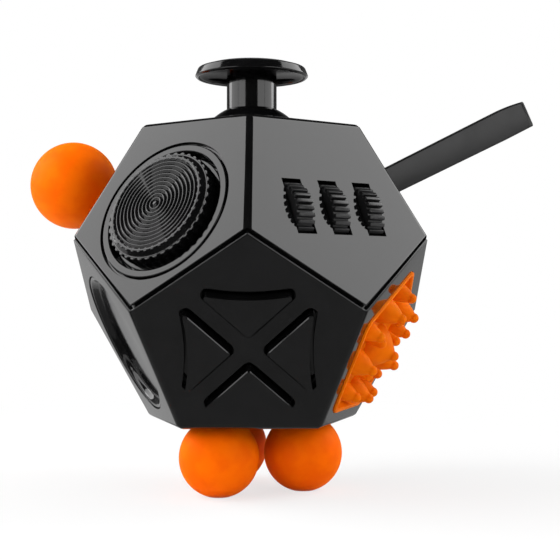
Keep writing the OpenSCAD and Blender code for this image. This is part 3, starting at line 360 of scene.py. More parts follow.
@dataclass(frozen=True)
class MouldedFinish:
    """A moulded plastic or silicone: colour, gloss, skin and how far light goes in.

    Attributes:
        slot: The record's material slot that it stands for.
        colour: Main colour, linear.
        tint: Colour that the mottling mixes in, linear.
        clean: Roughness of the clean surface.
        touched: Roughness where it has been handled.
        grain: Size of the skin's grain in millimetres.
        relief: Strength of the skin's bump.
        ior: Index of refraction.
        shine: Specular level, where 0.5 is the plain level of that index.
        depth: How far light goes in, in millimetres, where 0 is not at all.
        sheen: Weight of the powdery sheen.
        bloom: Colour of the sheen, linear.
        variant: What is added to the slot's name, where two finishes share a slot.
    """

    slot: Slot
    colour: Colour
    tint: Colour
    clean: float
    touched: float
    grain: float
    relief: float
    ior: float = 1.5
    shine: float = 0.5
    depth: float = 0.0
    sheen: float = 0.0
    bloom: Colour = (1.0, 1.0, 1.0)
    variant: str = ""

    @functools.cache
    def material(self) -> Material:
        """Builds the material once.

        Returns:
            The finished material.
        """
        settings = {
            "Grain Scale": 1 / (self.grain * MM),
            "Roughness Clean": self.clean,
            "Roughness Touched": self.touched,
        }
        name = self.slot.value + self.variant
        board = SkinnedMaterial(name, moulded_skin(), settings, self.grain, self.relief)
        mix = board.new("ShaderNodeMix")
        mix.data_type = "RGBA"
        mix.inputs["A"].default_value = (*self.colour, 1.0)
        mix.inputs["B"].default_value = (*self.tint, 1.0)
        board.join(board.skin["Mottle"], mix.inputs["Factor"])
        board.set({"Base Color": mix.outputs["Result"], "IOR": self.ior, "Specular IOR Level": self.shine})
        if self.depth:
            board.set(
                {
                    "Subsurface Weight": INNER_LIGHT,
                    "Subsurface Radius": INNER_REACH,
                    "Subsurface Scale": self.depth * MM,
                }
            )
        if self.sheen:
            board.set(
                {
                    "Sheen Weight": self.sheen,
                    "Sheen Roughness": SHEEN_ROUGHNESS,
                    "Sheen Tint": (*self.bloom, 1.0),
                }
            )
        return board.material


@dataclass(frozen=True)
class MetalFinish:
    """A turned or pressed metal.

    Attributes:
        slot: The record's material slot that it stands for.
        colour: Colour, linear.
        smooth: Roughness of the smoothest spots.
        rough: Roughness of the roughest spots.
        scratch: Size of the scratches in millimetres.
        relief: Strength of the bump.
    """

    slot: Slot
    colour: Colour
    smooth: float
    rough: float
    scratch: float
    relief: float

    @functools.cache
    def material(self) -> Material:
        """Builds the material once.

        Returns:
            The finished material.
        """
        settings = {
            "Scratch Scale": 1 / (self.scratch * MM),
            "Roughness Low": self.smooth,
            "Roughness High": self.rough,
        }
        board = SkinnedMaterial(self.slot.value, turned_steel(), settings, self.scratch, self.relief)
        board.set({"Base Color": (*self.colour, 1.0), "Metallic": 1.0})
        return board.material


Finish = MouldedFinish | MetalFinish

CASING_GLOSS = MouldedFinish(
    Slot.CASING, (0.0026, 0.0026, 0.0027), (0.0036, 0.0036, 0.0038),
    clean=0.06, touched=0.1, grain=0.5, relief=0.004,
)
BLACK_GLOSS = MouldedFinish(
    Slot.BLACK, (0.0024, 0.0024, 0.0026), (0.0036, 0.0036, 0.0038),
    clean=0.09, touched=0.15, grain=0.4, relief=0.006,
)
BLACK_SATIN = MouldedFinish(
    Slot.BLACK, (0.007, 0.007, 0.0072), (0.010, 0.010, 0.0104),
    clean=0.3, touched=0.36, grain=0.3, relief=0.02, variant="_satin",
)
INNER_MATT = MouldedFinish(
    Slot.INNER, (0.010, 0.010, 0.0105), (0.015, 0.015, 0.016),
    clean=0.4, touched=0.55, grain=0.15, relief=0.1,
)
ORANGE_SILICONE = MouldedFinish(
    Slot.ORANGE_SOFT, (1.0, 0.155, 0.0), (0.94, 0.125, 0.0),
    clean=0.5, touched=0.6, grain=0.12, relief=0.05,
    ior=1.41, shine=0.04, depth=0.5, sheen=0.12, bloom=(1.0, 0.5, 0.0),
)
# The balls' orange silicone made darker: painted shade for the nubs and the crevices between them, which
# also bounce less light
ORANGE_PAD_SHADED = MouldedFinish(
    Slot.ORANGE_SOFT, (0.8, 0.165, 0.0), (0.72, 0.135, 0.0),
    clean=0.5, touched=0.6, grain=0.12, relief=0.05,
    ior=1.41, shine=0.05, depth=0.2, sheen=0.06, bloom=(1.0, 0.5, 0.0), variant="_pad",
)
ORANGE_GLOSS = MouldedFinish(
    Slot.ORANGE_HARD, (0.95, 0.15, 0.0), (0.9, 0.13, 0.0),
    clean=0.14, touched=0.24, grain=0.4, relief=0.01, shine=0.4, depth=0.4,
)
BLACK_SILICONE = MouldedFinish(
    Slot.BLACK_SOFT, (0.008, 0.008, 0.0083), (0.011, 0.011, 0.0114),
    clean=0.28, touched=0.36, grain=0.15, relief=0.05, ior=1.45, shine=0.43,
)
MILKY_SILICONE = MouldedFinish(
    Slot.MILKY, (0.72, 0.72, 0.69), (0.66, 0.66, 0.62),
    clean=0.38, touched=0.5, grain=0.15, relief=0.04, ior=1.41, depth=2.0,
)
GREY_FELT = MouldedFinish(
    Slot.FELT, (0.07, 0.07, 0.07), (0.12, 0.12, 0.115),
    clean=0.9, touched=0.95, grain=0.06, relief=0.8, sheen=0.3,
)
BRIGHT_STEEL = MetalFinish(
    Slot.STEEL, (0.56, 0.57, 0.58), smooth=0.18, rough=0.36, scratch=0.2, relief=0.05
)


# Shapes


def around(angle: float, radius: float = 1.0) -> Point:
    """Gives the point at an angle in degrees on a circle.

    Args:
        angle: The angle in degrees.
        radius: The circle's radius.

    Returns:
        The point.
    """
    return radius * math.cos(math.radians(angle)), radius * math.sin(math.radians(angle))


def arc(centre: Point, radius: float, start: float, end: float, steps: int) -> Outline:
    """Gives the points of an arc.

    Args:
        centre: Middle of the arc.
        radius: Its radius.
        start: First angle in degrees.
        end: Last angle in degrees.
        steps: Number of chords.

    Returns:
        The points, one more than steps.
    """
    angles = (start + (end - start) * k / steps for k in range(steps + 1))
    return [(centre[0] + x, centre[1] + y) for x, y in (around(a, radius) for a in angles)]


def filleted(points: Sequence[Point], radius: float, steps: int = 4, closed: bool = False) -> Outline:
    """Rounds the corners of a chain of points.

    Args:
        points: The chain.
        radius: Radius of the fillets, made smaller where a side is short.
        steps: Number of chords in a fillet.
        closed: Whether the chain's end joins its start.

    Returns:
        The rounded chain.
    """
    count = len(points)
    rounded: Outline = []
    for k, here in enumerate(points):
        corner = Vector(here)
        if not closed and k in (0, count - 1):
            rounded.append(here)
            continue
        back, ahead = Vector(points[k - 1]) - corner, Vector(points[(k + 1) % count]) - corner
        half = back.angle(ahead) / 2
        if abs(half - math.pi / 2) < STRAIGHT:
            rounded.append(here)
            continue
        reach = min(radius / math.tan(half), FILLET_SHARE * back.length, FILLET_SHARE * ahead.length)
        start, end = corner + back.normalized() * reach, corner + ahead.normalized() * reach
        for i in range(steps + 1):
            t = i / steps
            spot = start.lerp(corner, t).lerp(corner.lerp(end, t), t)
            rounded.append((spot.x, spot.y))
    return rounded


def pentagon(apothem: float, corner: float) -> Outline:
    """Gives a pentagon with rounded corners and one corner up.

    Args:
        apothem: Distance from the middle to the sides.
        corner: Radius of the corners.

    Returns:
        The outline, anticlockwise.
    """
    reach = apothem / math.cos(math.radians(36))
    return filleted([around(90 + 72 * k, reach) for k in range(5)], corner, steps=6, closed=True)


def finish_mesh(bm: BMesh, name: str, place: Matrix, crease: float) -> Mesh:
    """Turns a bmesh in millimetres into a mesh in the part's frame.

    Args:
        bm: The shape, which is freed.
        name: Name of the mesh.
        place: Where its face's frame lies.
        crease: Edges that turn by more than this many degrees stay sharp.

    Returns:
        The mesh, smooth between its creases, with its faces turned outwards.
    """
    bmesh.ops.remove_doubles(bm, verts=bm.verts, dist=MERGE_DISTANCE / MM)
    bmesh.ops.recalc_face_normals(bm, faces=bm.faces)
    mesh = bpy.data.meshes.new(name)
    bm.to_mesh(mesh)
    bm.free()
    mesh.transform(place @ Matrix.Scale(MM, 4))
    mesh.shade_smooth()
    mesh.set_sharp_from_angle(angle=math.radians(crease))
    return mesh


def bridge(bm: BMesh, rings: Sequence[Sequence[BMVert]]) -> None:
    """Joins rings of points by faces, where a ring of one point is a pole.

    Args:
        bm: The shape to add to.
        rings: The rings in order, of equal length apart from poles.
    """
    for low, high in itertools.pairwise(rings):
        for k in range(max(len(low), len(high))):
            n = k + 1
            corners = (low[k % len(low)], low[n % len(low)], high[n % len(high)], high[k % len(high)])
            bm.faces.new(list(dict.fromkeys(corners)))


def lathe(
    name: str, profile: Sequence[Point], place: Matrix, steps: int = FINE_STEPS, crease: float = 40
) -> Mesh:
    """Turns a profile round the local z axis.

    Args:
        name: Name of the mesh.
        profile: Radius and height of each point. It starts and ends on the axis, or it is a closed ring.
        place: Where the axis lies.
        steps: Number of faces round the axis.
        crease: Edges that turn by more than this many degrees stay sharp.

    Returns:
        The turned mesh.
    """
    bm = bmesh.new()
    rings = []
    for radius, z in profile:
        if radius < ON_AXIS:
            rings.append([bm.verts.new((0, 0, z))])
        else:
            spots = (around(360 * k / steps, radius) for k in range(steps))
            rings.append([bm.verts.new((x, y, z)) for x, y in spots])
    if len(rings[0]) > 1:
        rings.append(rings[0])
    bridge(bm, rings)
    return finish_mesh(bm, name, place, crease)


def stacked(name: str, levels: Sequence[tuple[Outline, float]], place: Matrix, crease: float = 40) -> Mesh:
    """Stacks outlines of equal length into a closed solid.

    Args:
        name: Name of the mesh.
        levels: Each outline with its height.
        place: Where the outlines' frame lies.
        crease: Edges that turn by more than this many degrees stay sharp.

    Returns:
        The solid, with a flat lid at each end.
    """
    bm = bmesh.new()
    rings = [[bm.verts.new((x, y, z)) for x, y in outline] for outline, z in levels]
    bridge(bm, rings)
    bm.faces.new(rings[0][::-1])
    bm.faces.new(rings[-1])
    return finish_mesh(bm, name, place, crease)


def cad_copy(node: Object, name: str, crease: float = 30) -> Mesh:
    """Copies a CAD node's mesh, welds it and joins its flat triangles.

    Args:
        node: The CAD node.
        name: Name of the copy.
        crease: Edges that turn by more than this many degrees stay sharp.

    Returns:
        A clean mesh that modifiers can work on.
    """
    bm = bmesh.new()
    bm.from_mesh(node.data)
    bmesh.ops.remove_doubles(bm, verts=bm.verts, dist=MERGE_DISTANCE)
    bmesh.ops.dissolve_limit(bm, angle_limit=math.radians(FLAT_ANGLE), verts=bm.verts, edges=bm.edges)
    mesh = bpy.data.meshes.new(name)
    bm.to_mesh(mesh)
    bm.free()
    mesh.shade_smooth()
    mesh.set_sharp_from_angle(angle=math.radians(crease))
    return mesh


# Geometry Nodes


@functools.cache
def ring_array() -> NodeTree:
    """Builds the tree that adds a ring of copies of one shape to a base shape.

    Returns:
        A tree with the inputs Shape, Count, Radius, Start and Material.
    """
    tree = bpy.data.node_groups.new("ring_array", "GeometryNodeTree")
    inputs = {
        "Geometry": "Geometry",
        "Shape": "Object",
        "Count": "Int",
        "Radius": "Float",
        "Start": "Float",
        "Material": "Material",
    }
    for label, kind in inputs.items():
        tree.interface.new_socket(label, in_out="INPUT", socket_type=f"NodeSocket{kind}")
    tree.interface.new_socket("Geometry", in_out="OUTPUT", socket_type="NodeSocketGeometry")
    board = NodeBoard(tree)
    new, link = board.new, tree.links.new
    pins, sink = new("NodeGroupInput").outputs, new("NodeGroupOutput")
    line = new("GeometryNodeMeshLine")
    link(pins["Count"], line.inputs["Count"])
    line.inputs["Offset"].default_value = (0, 0, 0)
    turn = board.maths("DIVIDE", new("GeometryNodeInputIndex").outputs["Index"], pins["Count"])
    rotation = new("FunctionNodeAxisAngleToRotation")
    rotation.inputs["Axis"].default_value = (0, 0, 1)
    link(board.maths("MULTIPLY_ADD", turn, math.tau, pins["Start"]), rotation.inputs["Angle"])
    reach = new("ShaderNodeCombineXYZ")
    link(pins["Radius"], reach.inputs["X"])
    spot = new("FunctionNodeRotateVector")
    link(reach.outputs["Vector"], spot.inputs["Vector"])
    link(rotation.outputs["Rotation"], spot.inputs["Rotation"])
    points = new("GeometryNodeSetPosition")
    link(line.outputs["Mesh"], points.inputs["Geometry"])
    link(spot.outputs["Vector"], points.inputs["Position"])
    shape = new("GeometryNodeObjectInfo")
    link(pins["Shape"], shape.inputs["Object"])
    copies = new("GeometryNodeInstanceOnPoints")
    link(points.outputs["Geometry"], copies.inputs["Points"])
    link(shape.outputs["Geometry"], copies.inputs["Instance"])
    link(rotation.outputs["Rotation"], copies.inputs["Rotation"])
    join = new("GeometryNodeJoinGeometry")
    link(copies.outputs["Instances"], join.inputs["Geometry"])
    link(pins["Geometry"], join.inputs["Geometry"])
    real = new("GeometryNodeRealizeInstances")
    link(join.outputs["Geometry"], real.inputs["Geometry"])
    dress = new("GeometryNodeSetMaterial")
    link(real.outputs["Geometry"], dress.inputs["Geometry"])
    link(pins["Material"], dress.inputs["Material"])
    link(dress.outputs["Geometry"], sink.inputs["Geometry"])
    return tree


@dataclass(frozen=True)
class Ring:
    """One ring of equal shapes: how many, how far out, and where the first one stands."""

    count: int
    radius: float
    start: float = 0.0


def with_ring(base: Mesh, shape: Mesh, ring: Ring, finish: Finish) -> Mesh:
    """Adds a ring of one shape to a base mesh, through Geometry Nodes.

    Args:
        base: The base, in the ring's own frame in metres.
        shape: The shape to repeat, standing at the origin.
        ring: The ring, in millimetres and degrees.
        finish: What the whole mesh is dressed in.

    Returns:
        One plain mesh.
    """
    scene = bpy.context.scene.collection.objects
    holder = bpy.data.objects.new(base.name, base)
    sample = bpy.data.objects.new(shape.name, shape)
    scene.link(holder)
    scene.link(sample)
    pins = {s.name: s.identifier for s in ring_array().interface.items_tree if s.in_out == "INPUT"}
    modifier = holder.modifiers.new("ring", "NODES")
    modifier.node_group = ring_array()
    modifier[pins["Shape"]] = sample
    modifier[pins["Count"]] = ring.count
    modifier[pins["Radius"]] = ring.radius * MM
    modifier[pins["Start"]] = math.radians(ring.start)
    modifier[pins["Material"]] = finish.material()
    depsgraph = bpy.context.evaluated_depsgraph_get()
    mesh = bpy.data.meshes.new_from_object(
        holder.evaluated_get(depsgraph), preserve_all_data_layers=True, depsgraph=depsgraph
    )
    bpy.data.objects.remove(holder)
    bpy.data.objects.remove(sample)
    return mesh


# Sub-assemblies


@dataclass
class Toy:
    """What every sub-assembly shares: the frame and the casing's size.

    Attributes:
        nodes: The CAD nodes by name.
        body_of: The CAD body of each node.
        in_r: Distance from the middle of the casing to its faces, in millimetres.
        centre_z: Height of the middle of the casing, in millimetres.
    """

    nodes: dict[str, Object]
    body_of: dict[str, str]
    in_r: float
    centre_z: float

    @classmethod
    def from_frame(cls, frame: dict) -> "Toy":
        """Reads the frame and measures the casing.


        Returns:
            The toy's shared values.
        """
        bodies = frame["record"]["behaviour"]["bodies"]
        body_of = {node: body for body, members in bodies.items() for node in members}
        top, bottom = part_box("upper_casing")[1].z / MM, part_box("lower_casing")[0].z / MM
        return cls(frame["nodes"], body_of, (top - bottom) / 2, (top + bottom) / 2)

    def place(self, face: Face, drop: float = 0.0) -> Matrix:
        """Gives the frame of a face: z out, y up along the face, in metres.

        Args:
            face: The face.
            drop: How far below the middle of the face the frame lies, in millimetres.

        Returns:
            The frame as a matrix.
        """
        azimuth, elevation = face.value
        return (
            Matrix.Translation((0, 0, self.centre_z * MM))
            @ Matrix.Rotation(math.radians(azimuth), 4, "Z")
            @ Matrix.Rotation(math.radians(90 - elevation), 4, "X")
            @ Matrix.Translation((0, -drop * MM, self.in_r * MM))
        )

    def piece(self, name: str, mesh: Mesh, finish: Finish, *nodes: str) -> Object:
        """Links a mesh as a piece that rides on the body of the nodes it stands for.

        Args:
            name: Name of the piece.
            mesh: Its mesh, in place.
            finish: Its finish.
            nodes: The CAD nodes that it stands for.

        Returns:
            The piece.
        """
        obj = bpy.data.objects.new(name, mesh)
        bpy.context.scene.collection.objects.link(obj)
        mesh.materials.clear()
        mesh.materials.append(finish.material())
        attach(obj, self.body_of[nodes[0]])
        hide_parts(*nodes)
        LOG.info("%s rides on %s", name, self.body_of[nodes[0]])
        return obj

    def polished(self, node: str, finish: Finish, bevel: float, limit: float = 35) -> Object:
        """Makes a piece of a CAD node with its edges broken.

        Args:
            node: The CAD node.
            finish: Its finish.
            bevel: Width of the broken edges in millimetres.
            limit: Edges that turn by more than this many degrees are broken.

        Returns:
            The piece.
        """
        name = f"{node}_moulding"
        obj = self.piece(name, cad_copy(self.nodes[node], name, limit), finish, node)
        edge = obj.modifiers.new("broken_edges", "BEVEL")
        edge.width = bevel * MM
        edge.segments = EDGE_STEPS
        edge.limit_method = "ANGLE"
        edge.angle_limit = math.radians(limit)
        edge.use_clamp_overlap = True
        normals = obj.modifiers.new("face_normals", "WEIGHTED_NORMAL")
        normals.keep_sharp = False
        return obj

    def dress(self, finish: Finish, *nodes: str) -> None:
        """Gives CAD nodes that stay as they are their finish.

        Args:
            finish: The finish.
            nodes: The CAD nodes.
        """
        for node in nodes:
            slots = self.nodes[node].data.materials
            slots.clear()
            slots.append(finish.material())
            LOG.info("%s stays, in %s", node, finish.slot.value)


@dataclass
class Casing:
    """The two moulded halves of the twelve-sided casing, which meet along a zigzag belt.

    Attributes:
        toy: What all sub-assemblies share.
        edge_break: Width of the broken edges.
        sharp: Edges that turn by more than this many degrees are sharp.
        lip_in: How far the corner of the lower lip is drawn in.
        sectors: Number of flat stretches of the belt.
        belt_drop: How far below the casing's middle the lip's planes meet.
        belt_slack: A point this near to a plane of the belt lies on it.
        skin_slack: A point this far below the faces still lies outside.
    """

    toy: Toy
    edge_break: float = 0.14
    sharp: float = 45
    lip_in: float = 0.22
    sectors: int = 10
    belt_drop: float = 0.05
    belt_slack: float = 0.03
    skin_slack: float = 0.3

    def build(self) -> None:
        """Makes both halves, with their sharp edges broken and a sloping lip along the lower seam."""
        self.toy.polished("upper_casing", CASING_GLOSS, self.edge_break, limit=self.sharp)
        lower = self.toy.polished("lower_casing", CASING_GLOSS, self.edge_break, limit=self.sharp)
        self.slope_lip(lower.data)

    def belt_normals(self) -> list[Vector]:
        """Gives the normals of the belt's planes, one for each sector.

        Returns:
            The normals, in order from the front.
        """
        golden = (1 + math.sqrt(5)) / 2
        rise = 1 / (2 * golden**2)
        corners = []
        for k in range(self.sectors + 1):
            x, y = around(360 / self.sectors * k - 90)
            corners.append(Vector((x, y, rise if k % 2 == 0 else -rise)))
        return [a.cross(b).normalized() for a, b in itertools.pairwise(corners)]

    def slope_lip(self, mesh: Mesh) -> None:
        """Draws the outer corner of the lower half's seam inwards, so that its last facet slopes.

        Args:
            mesh: The lower half's mesh.
        """
        bm = bmesh.new()
        bm.from_mesh(mesh)
        middle = Vector((0, 0, self.toy.centre_z - self.belt_drop))
        normals = self.belt_normals()
        skins = [self.toy.place(face).to_3x3() @ Vector((0, 0, 1)) for face in Face]
        lip = set()
        for edge in bm.edges:
            if len(edge.link_faces) != 2 or edge.calc_face_angle() < math.radians(self.sharp):
                continue
            ends = [v.co / MM - middle for v in edge.verts]
            x, y, _ = sum(ends, Vector())
            azimuth = math.degrees(math.atan2(x, -y)) % 360
            plane = normals[int(azimuth // (360 / self.sectors))]
            on_belt = all(abs(p.dot(plane)) < self.belt_slack for p in ends)
            outside = all(max(p.dot(n) for n in skins) > self.toy.in_r - self.skin_slack for p in ends)
            if on_belt and outside:
                lip.update(edge.verts)
        for vert in lip:
            vert.co += (middle * MM - vert.co).normalized() * self.lip_in * MM
        LOG.info("%d corners of the lower lip drawn in", len(lip))
        bm.to_mesh(mesh)
        bm.free()


@dataclass
class Joystick:
    """The two-axis stick on top: hollow cap, stem with its dome, gimbal and cradle."""

    toy: Toy
    stem_r: float = 3.86
    stem_break: float = 0.12
    stem_sharp: float = 40
    cap_z: float = 8.1
    cap_r: float = 8.75
    cap_h: float = 2.3
    cap_side_h: float = 1.2
    cap_side_in: float = 0.46
    cap_top_r: float = 6.6
    cap_crown: float = 0.6
    cap_shoulder: float = 0.5
    cap_edge: float = 0.3
    cap_lip: float = 0.2
    cap_rim: float = 0.5
    cap_roof: float = 0.7
    cap_seat: float = 0.2
    hollow_power: float = 2.4
    hollow_steps: int = 24
    spigot_r: float = 2.4
    spigot_l: float = 1.3
    fit_gap: float = 0.1

    def build(self) -> None:
        """Makes the cap and the stem, and dresses the works below."""
        cap = lathe("stick_cap", self.cap_profile(), self.toy.place(Face.TOP))
        self.toy.piece("stick_cap", cap, BLACK_GLOSS, "joystick_cap")
        self.toy.polished("joystick_stem", BLACK_GLOSS, self.stem_break, limit=self.stem_sharp)
        self.toy.dress(BRIGHT_STEEL, "joystick_gimbal", "joystick_screws")
        self.toy.dress(INNER_MATT, "joystick_cradle")

    def hollow(self, base: float) -> Outline:
        """Gives the cap's hollow as a squared quarter ellipse, from its roof down to its widest line.

        Args:
            base: Height of its widest line.

        Returns:
            Radius and height of each point.
        """
        radius, height = self.cap_r - self.cap_rim, self.cap_h + self.cap_edge - self.cap_roof
        power = 2 / self.hollow_power
        angles = (math.pi / 2 * k / self.hollow_steps for k in range(self.hollow_steps))
        rise = [(radius * math.sin(a) ** power, base + height * math.cos(a) ** power) for a in angles]
        return [*rise, (radius, base)]

    def cap_profile(self) -> Outline:
        """Gives the cap's section: crown, rounded edge, rim, hollow and the boss on the stem.

        Returns:
            Radius and height of each point, from the top to the socket.
        """
        low, top = self.cap_z - self.cap_edge, self.cap_z + self.cap_h
        # Halfway out, a dome has come down by a quarter of its height
        side = [
            (0.0, top),
            (self.cap_top_r / 2, top - self.cap_crown / 4),
            (self.cap_top_r, top - self.cap_crown),
            (self.cap_r - self.cap_side_in, self.cap_z + self.cap_side_h),
            (self.cap_r, self.cap_z),
        ]
        crown = filleted(side, self.cap_shoulder, steps=8)
        inside = [point for point in reversed(self.hollow(low)) if point[0] > self.stem_r]
        rim = [crown[-2], crown[-1], (self.cap_r - self.cap_edge, low), inside[0], inside[1]]
        edge = filleted(rim, self.cap_lip)
        seat = self.cap_z + self.cap_seat
        socket_r = self.spigot_r + self.fit_gap
        roof = seat + self.spigot_l + self.fit_gap
        boss = [(self.stem_r, inside[-1][1]), (self.stem_r, seat)]
        socket = [(socket_r, seat), (socket_r, roof), (0.0, roof)]
        return [*crown[:-1], *edge[1:-1], *inside[1:], *boss, *socket]


@dataclass
class Dial:
    """The ridged dial in its well: bezel, disc, clip and felt washer."""

    toy: Toy
    drop: float = 1.35
    bezel_break: float = 0.16
    floor_z: float = 2.3
    washer_h: float = 0.25
    gap: float = 0.05
    flange_r: float = 9.2
    flange_h: float = 0.9
    grip_r: float = 8.45
    ribs: int = 40
    rib_at: float = 8.25
    rib_r: float = 0.5
    rib_edge: float = 0.08
    rib_drop: float = 0.02
    rib_steps: int = 16
    flute_at: float = 7.5
    flute_r: float = 0.34
    slope_r: float = 8.2
    top_r: float = 7.6
    top_z: float = 1.9
    slope_h: float = 0.7
    rings: int = 11
    ring_depth: float = 0.2
    groove_steps: int = 8
    land: float = 0.15
    land_shares: tuple[float, ...] = (0.0, 0.15, 0.85, 1.0)
    margin: float = 0.15
    spot_r: float = 0.3
    shaft_r: float = 2.5
    shaft_l: float = 4.3
    washer_r: float = 6.0
    washer_gap: float = 0.3
    washer_edge: float = 0.1

    def build(self) -> None:
        """Makes the bezel, the disc with its grip and the washer, and dresses the clip."""
        place = self.toy.place(Face.DIAL, self.drop)
        self.toy.polished("dial_bezel", CASING_GLOSS, self.bezel_break)
        body = lathe("dial_disc_ridged", self.profile(), Matrix.Identity(4))
        low, ledge = -self.under + self.flange_h / 2, self.top_z - self.slope_h
        rib = self.rib(self.rib_r, low, ledge - self.rib_drop)
        flute = self.rib(self.flute_r, ledge - self.rib_edge, self.top_z - self.rib_drop)
        disc = with_ring(body, rib, Ring(self.ribs, self.rib_at), BLACK_GLOSS)
        disc = with_ring(disc, flute, Ring(self.ribs, self.flute_at), BLACK_GLOSS)
        disc.transform(place)
        self.toy.piece("dial_disc_ridged", disc, BLACK_GLOSS, "dial_disc")
        inner, low, high = self.shaft_r + self.washer_gap, -self.floor_z, -self.floor_z + self.washer_h
        ring = [(inner, low), (self.washer_r, low), (self.washer_r, high), (inner, high)]
        section = filleted(ring, self.washer_edge, closed=True)
        washer = lathe("dial_washer_felt", section, place, COARSE_STEPS)
        self.toy.piece("dial_washer_felt", washer, GREY_FELT, "dial_washer")
        self.toy.dress(BRIGHT_STEEL, "dial_clip")

    @property
    def under(self) -> float:
        """Depth of the disc's underside below the face."""
        return self.floor_z - self.washer_h - self.gap

    def profile(self) -> Outline:
        """Gives the disc's section, from its shaft to the middle of its ridged top.

        Returns:
            Radius and height of each point.
        """
        pitch = (self.top_r - self.margin - self.spot_r) / self.rings
        ridges = []
        for k in range(self.rings):
            outer = self.top_r - self.margin - pitch * k
            ridges += [(outer - pitch * self.land * share, self.top_z) for share in self.land_shares]
            for i in range(1, self.groove_steps):
                across = i / self.groove_steps
                sink = self.ring_depth * (1 - abs(2 * across - 1))
                share = self.land + (1 - self.land) * across
                ridges.append((outer - pitch * share, self.top_z - sink))
        ridges.append((self.spot_r, self.top_z))
        side = [
            (0.0, -self.under - self.shaft_l),
            (self.shaft_r, -self.under - self.shaft_l),
            (self.shaft_r, -self.under),
            (self.flange_r, -self.under),
            (self.flange_r, -self.under + self.flange_h),
            (self.grip_r, -self.under + self.flange_h),
            (self.grip_r, self.top_z - self.slope_h),
            (self.slope_r, self.top_z - self.slope_h),
            (self.top_r, self.top_z),
            ridges[0],
        ]
        return [*filleted(side, self.rib_edge), *ridges[1:], (0.0, self.top_z)]

    def rib(self, radius: float, low: float, high: float) -> Mesh:
        """Gives one upright rib of the grip, standing at the origin.

        Args:
            radius: Its radius.
            low: Height of its foot.
            high: Height of its top.

        Returns:
            The rib.
        """
        side = [(0.0, low), (radius, low), (radius, high), (0.0, high)]
        return lathe("dial_rib", filleted(side, self.rib_edge), Matrix.Identity(4), self.rib_steps)


@dataclass
class Gears:
    """Three toothed wheels side by side on one axle."""

    toy: Toy
    drop: float = 1.05
    pitch: float = 6.3
    axle_depth: float = 3.4
    radius: float = 5.0
    width: float = 2.7
    bore_r: float = 1.05
    bevel: float = 0.12
    teeth: int = 30
    tooth_h: float = 0.55
    tooth_sunk: float = 0.2
    tooth_edge: float = 0.1
    foot_share: float = 0.4
    tip_share: float = 0.31
    # Size of a tooth's section at its end face and a little way in
    end_share: float = 0.78
    near_share: float = 0.94
    near_end: float = 0.04

    def build(self) -> None:
        """Makes the wheels and dresses what carries them."""
        for k in range(3):
            place = (
                self.toy.place(Face.GEARS, self.drop)
                @ Matrix.Translation(((k - 1) * self.pitch * MM, 0, -self.axle_depth * MM))
                @ Matrix.Rotation(math.radians(90), 4, "Y")
            )
            wheel = with_ring(self.hub(), self.tooth(), Ring(self.teeth, self.root_r), BLACK_SATIN)
            wheel.transform(place)
            self.toy.piece(f"gear_{k + 1}_toothed", wheel, BLACK_SATIN, f"gear_wheel_{k + 1}")
        self.toy.dress(BRIGHT_STEEL, "gear_axle", "gear_screws")
        self.toy.dress(INNER_MATT, "gear_cradle")

    @property
    def root_r(self) -> float:
        """Radius at the foot of the teeth."""
        return self.radius - self.tooth_h

    def hub(self) -> Mesh:
        """Gives the wheel without its teeth, round the local z axis.

        Returns:
            The wheel.
        """
        half = self.width / 2
        ring = [(self.bore_r, -half), (self.root_r, -half), (self.root_r, half), (self.bore_r, half)]
        return lathe("gear_hub", filleted(ring, self.bevel, closed=True), Matrix.Identity(4))

    def tooth(self) -> Mesh:
        """Gives one tooth, which points along x from the foot of the teeth.

        Returns:
            The tooth.
        """
        step = math.tau * self.root_r / self.teeth
        low, high = self.foot_share * step, self.tip_share * step
        foot, tip = -self.tooth_sunk, self.tooth_h
        corners = [(foot, -low), (tip, -high), (tip, high), (foot, low)]
        side = filleted(corners, self.tooth_edge, steps=3, closed=True)
        half, mid = self.width / 2, self.tooth_h / 2

        def inset(share: float) -> Outline:
            """Gives the tooth's section, shrunk towards its middle."""
            return [(mid + (x - mid) * share, y * share) for x, y in side]

        ends = ((self.end_share, 0.0), (self.near_share, self.near_end), (1.0, self.bevel))
        levels = [(inset(share), depth - half) for share, depth in ends]
        levels += [(inset(share), half - depth) for share, depth in reversed(ends)]
        return stacked("gear_tooth", levels, Matrix.Identity(4))


@dataclass
class CrossPad:
    """Four push buttons that leave an X between them, over a silicone sheet in a pan."""

    toy: Toy
    button_break: float = 0.1

    def build(self) -> None:
        """Makes the buttons and the sheet, and dresses the pan."""
        for side in ("top", "right", "bottom", "left"):
            self.toy.polished(f"pad_button_{side}", CASING_GLOSS, self.button_break)
        sheet = dome_sheet("pad_sheet_soft", self.toy.nodes["pad_sheet"])
        self.toy.piece("pad_sheet_soft", sheet, MILKY_SILICONE, "pad_sheet")
        self.toy.dress(INNER_MATT, "pad_pan")


def dome_sheet(name: str, node: Object, bevel: float = 0.12, limit: float = 35) -> Mesh:
    """Makes a soft copy of a silicone sheet with domes.

    Args:
        name: Name of the mesh.
        node: The CAD node of the sheet.
        bevel: Width of the softened edges in millimetres.
        limit: Edges that turn by more than this many degrees are softened.

    Returns:
        The sheet with softened edges.
    """
    mesh = cad_copy(node, name)
    bm = bmesh.new()
    bm.from_mesh(mesh)
    sharp = [e for e in bm.edges if len(e.link_faces) == 2 and e.calc_face_angle() > math.radians(limit)]
    bmesh.ops.bevel(
        bm, geom=sharp, offset=bevel * MM, segments=EDGE_STEPS, profile=0.5, affect="EDGES",
        clamp_overlap=True,
    )
    bm.to_mesh(mesh)
    bm.free()
    mesh.shade_smooth()
    return mesh


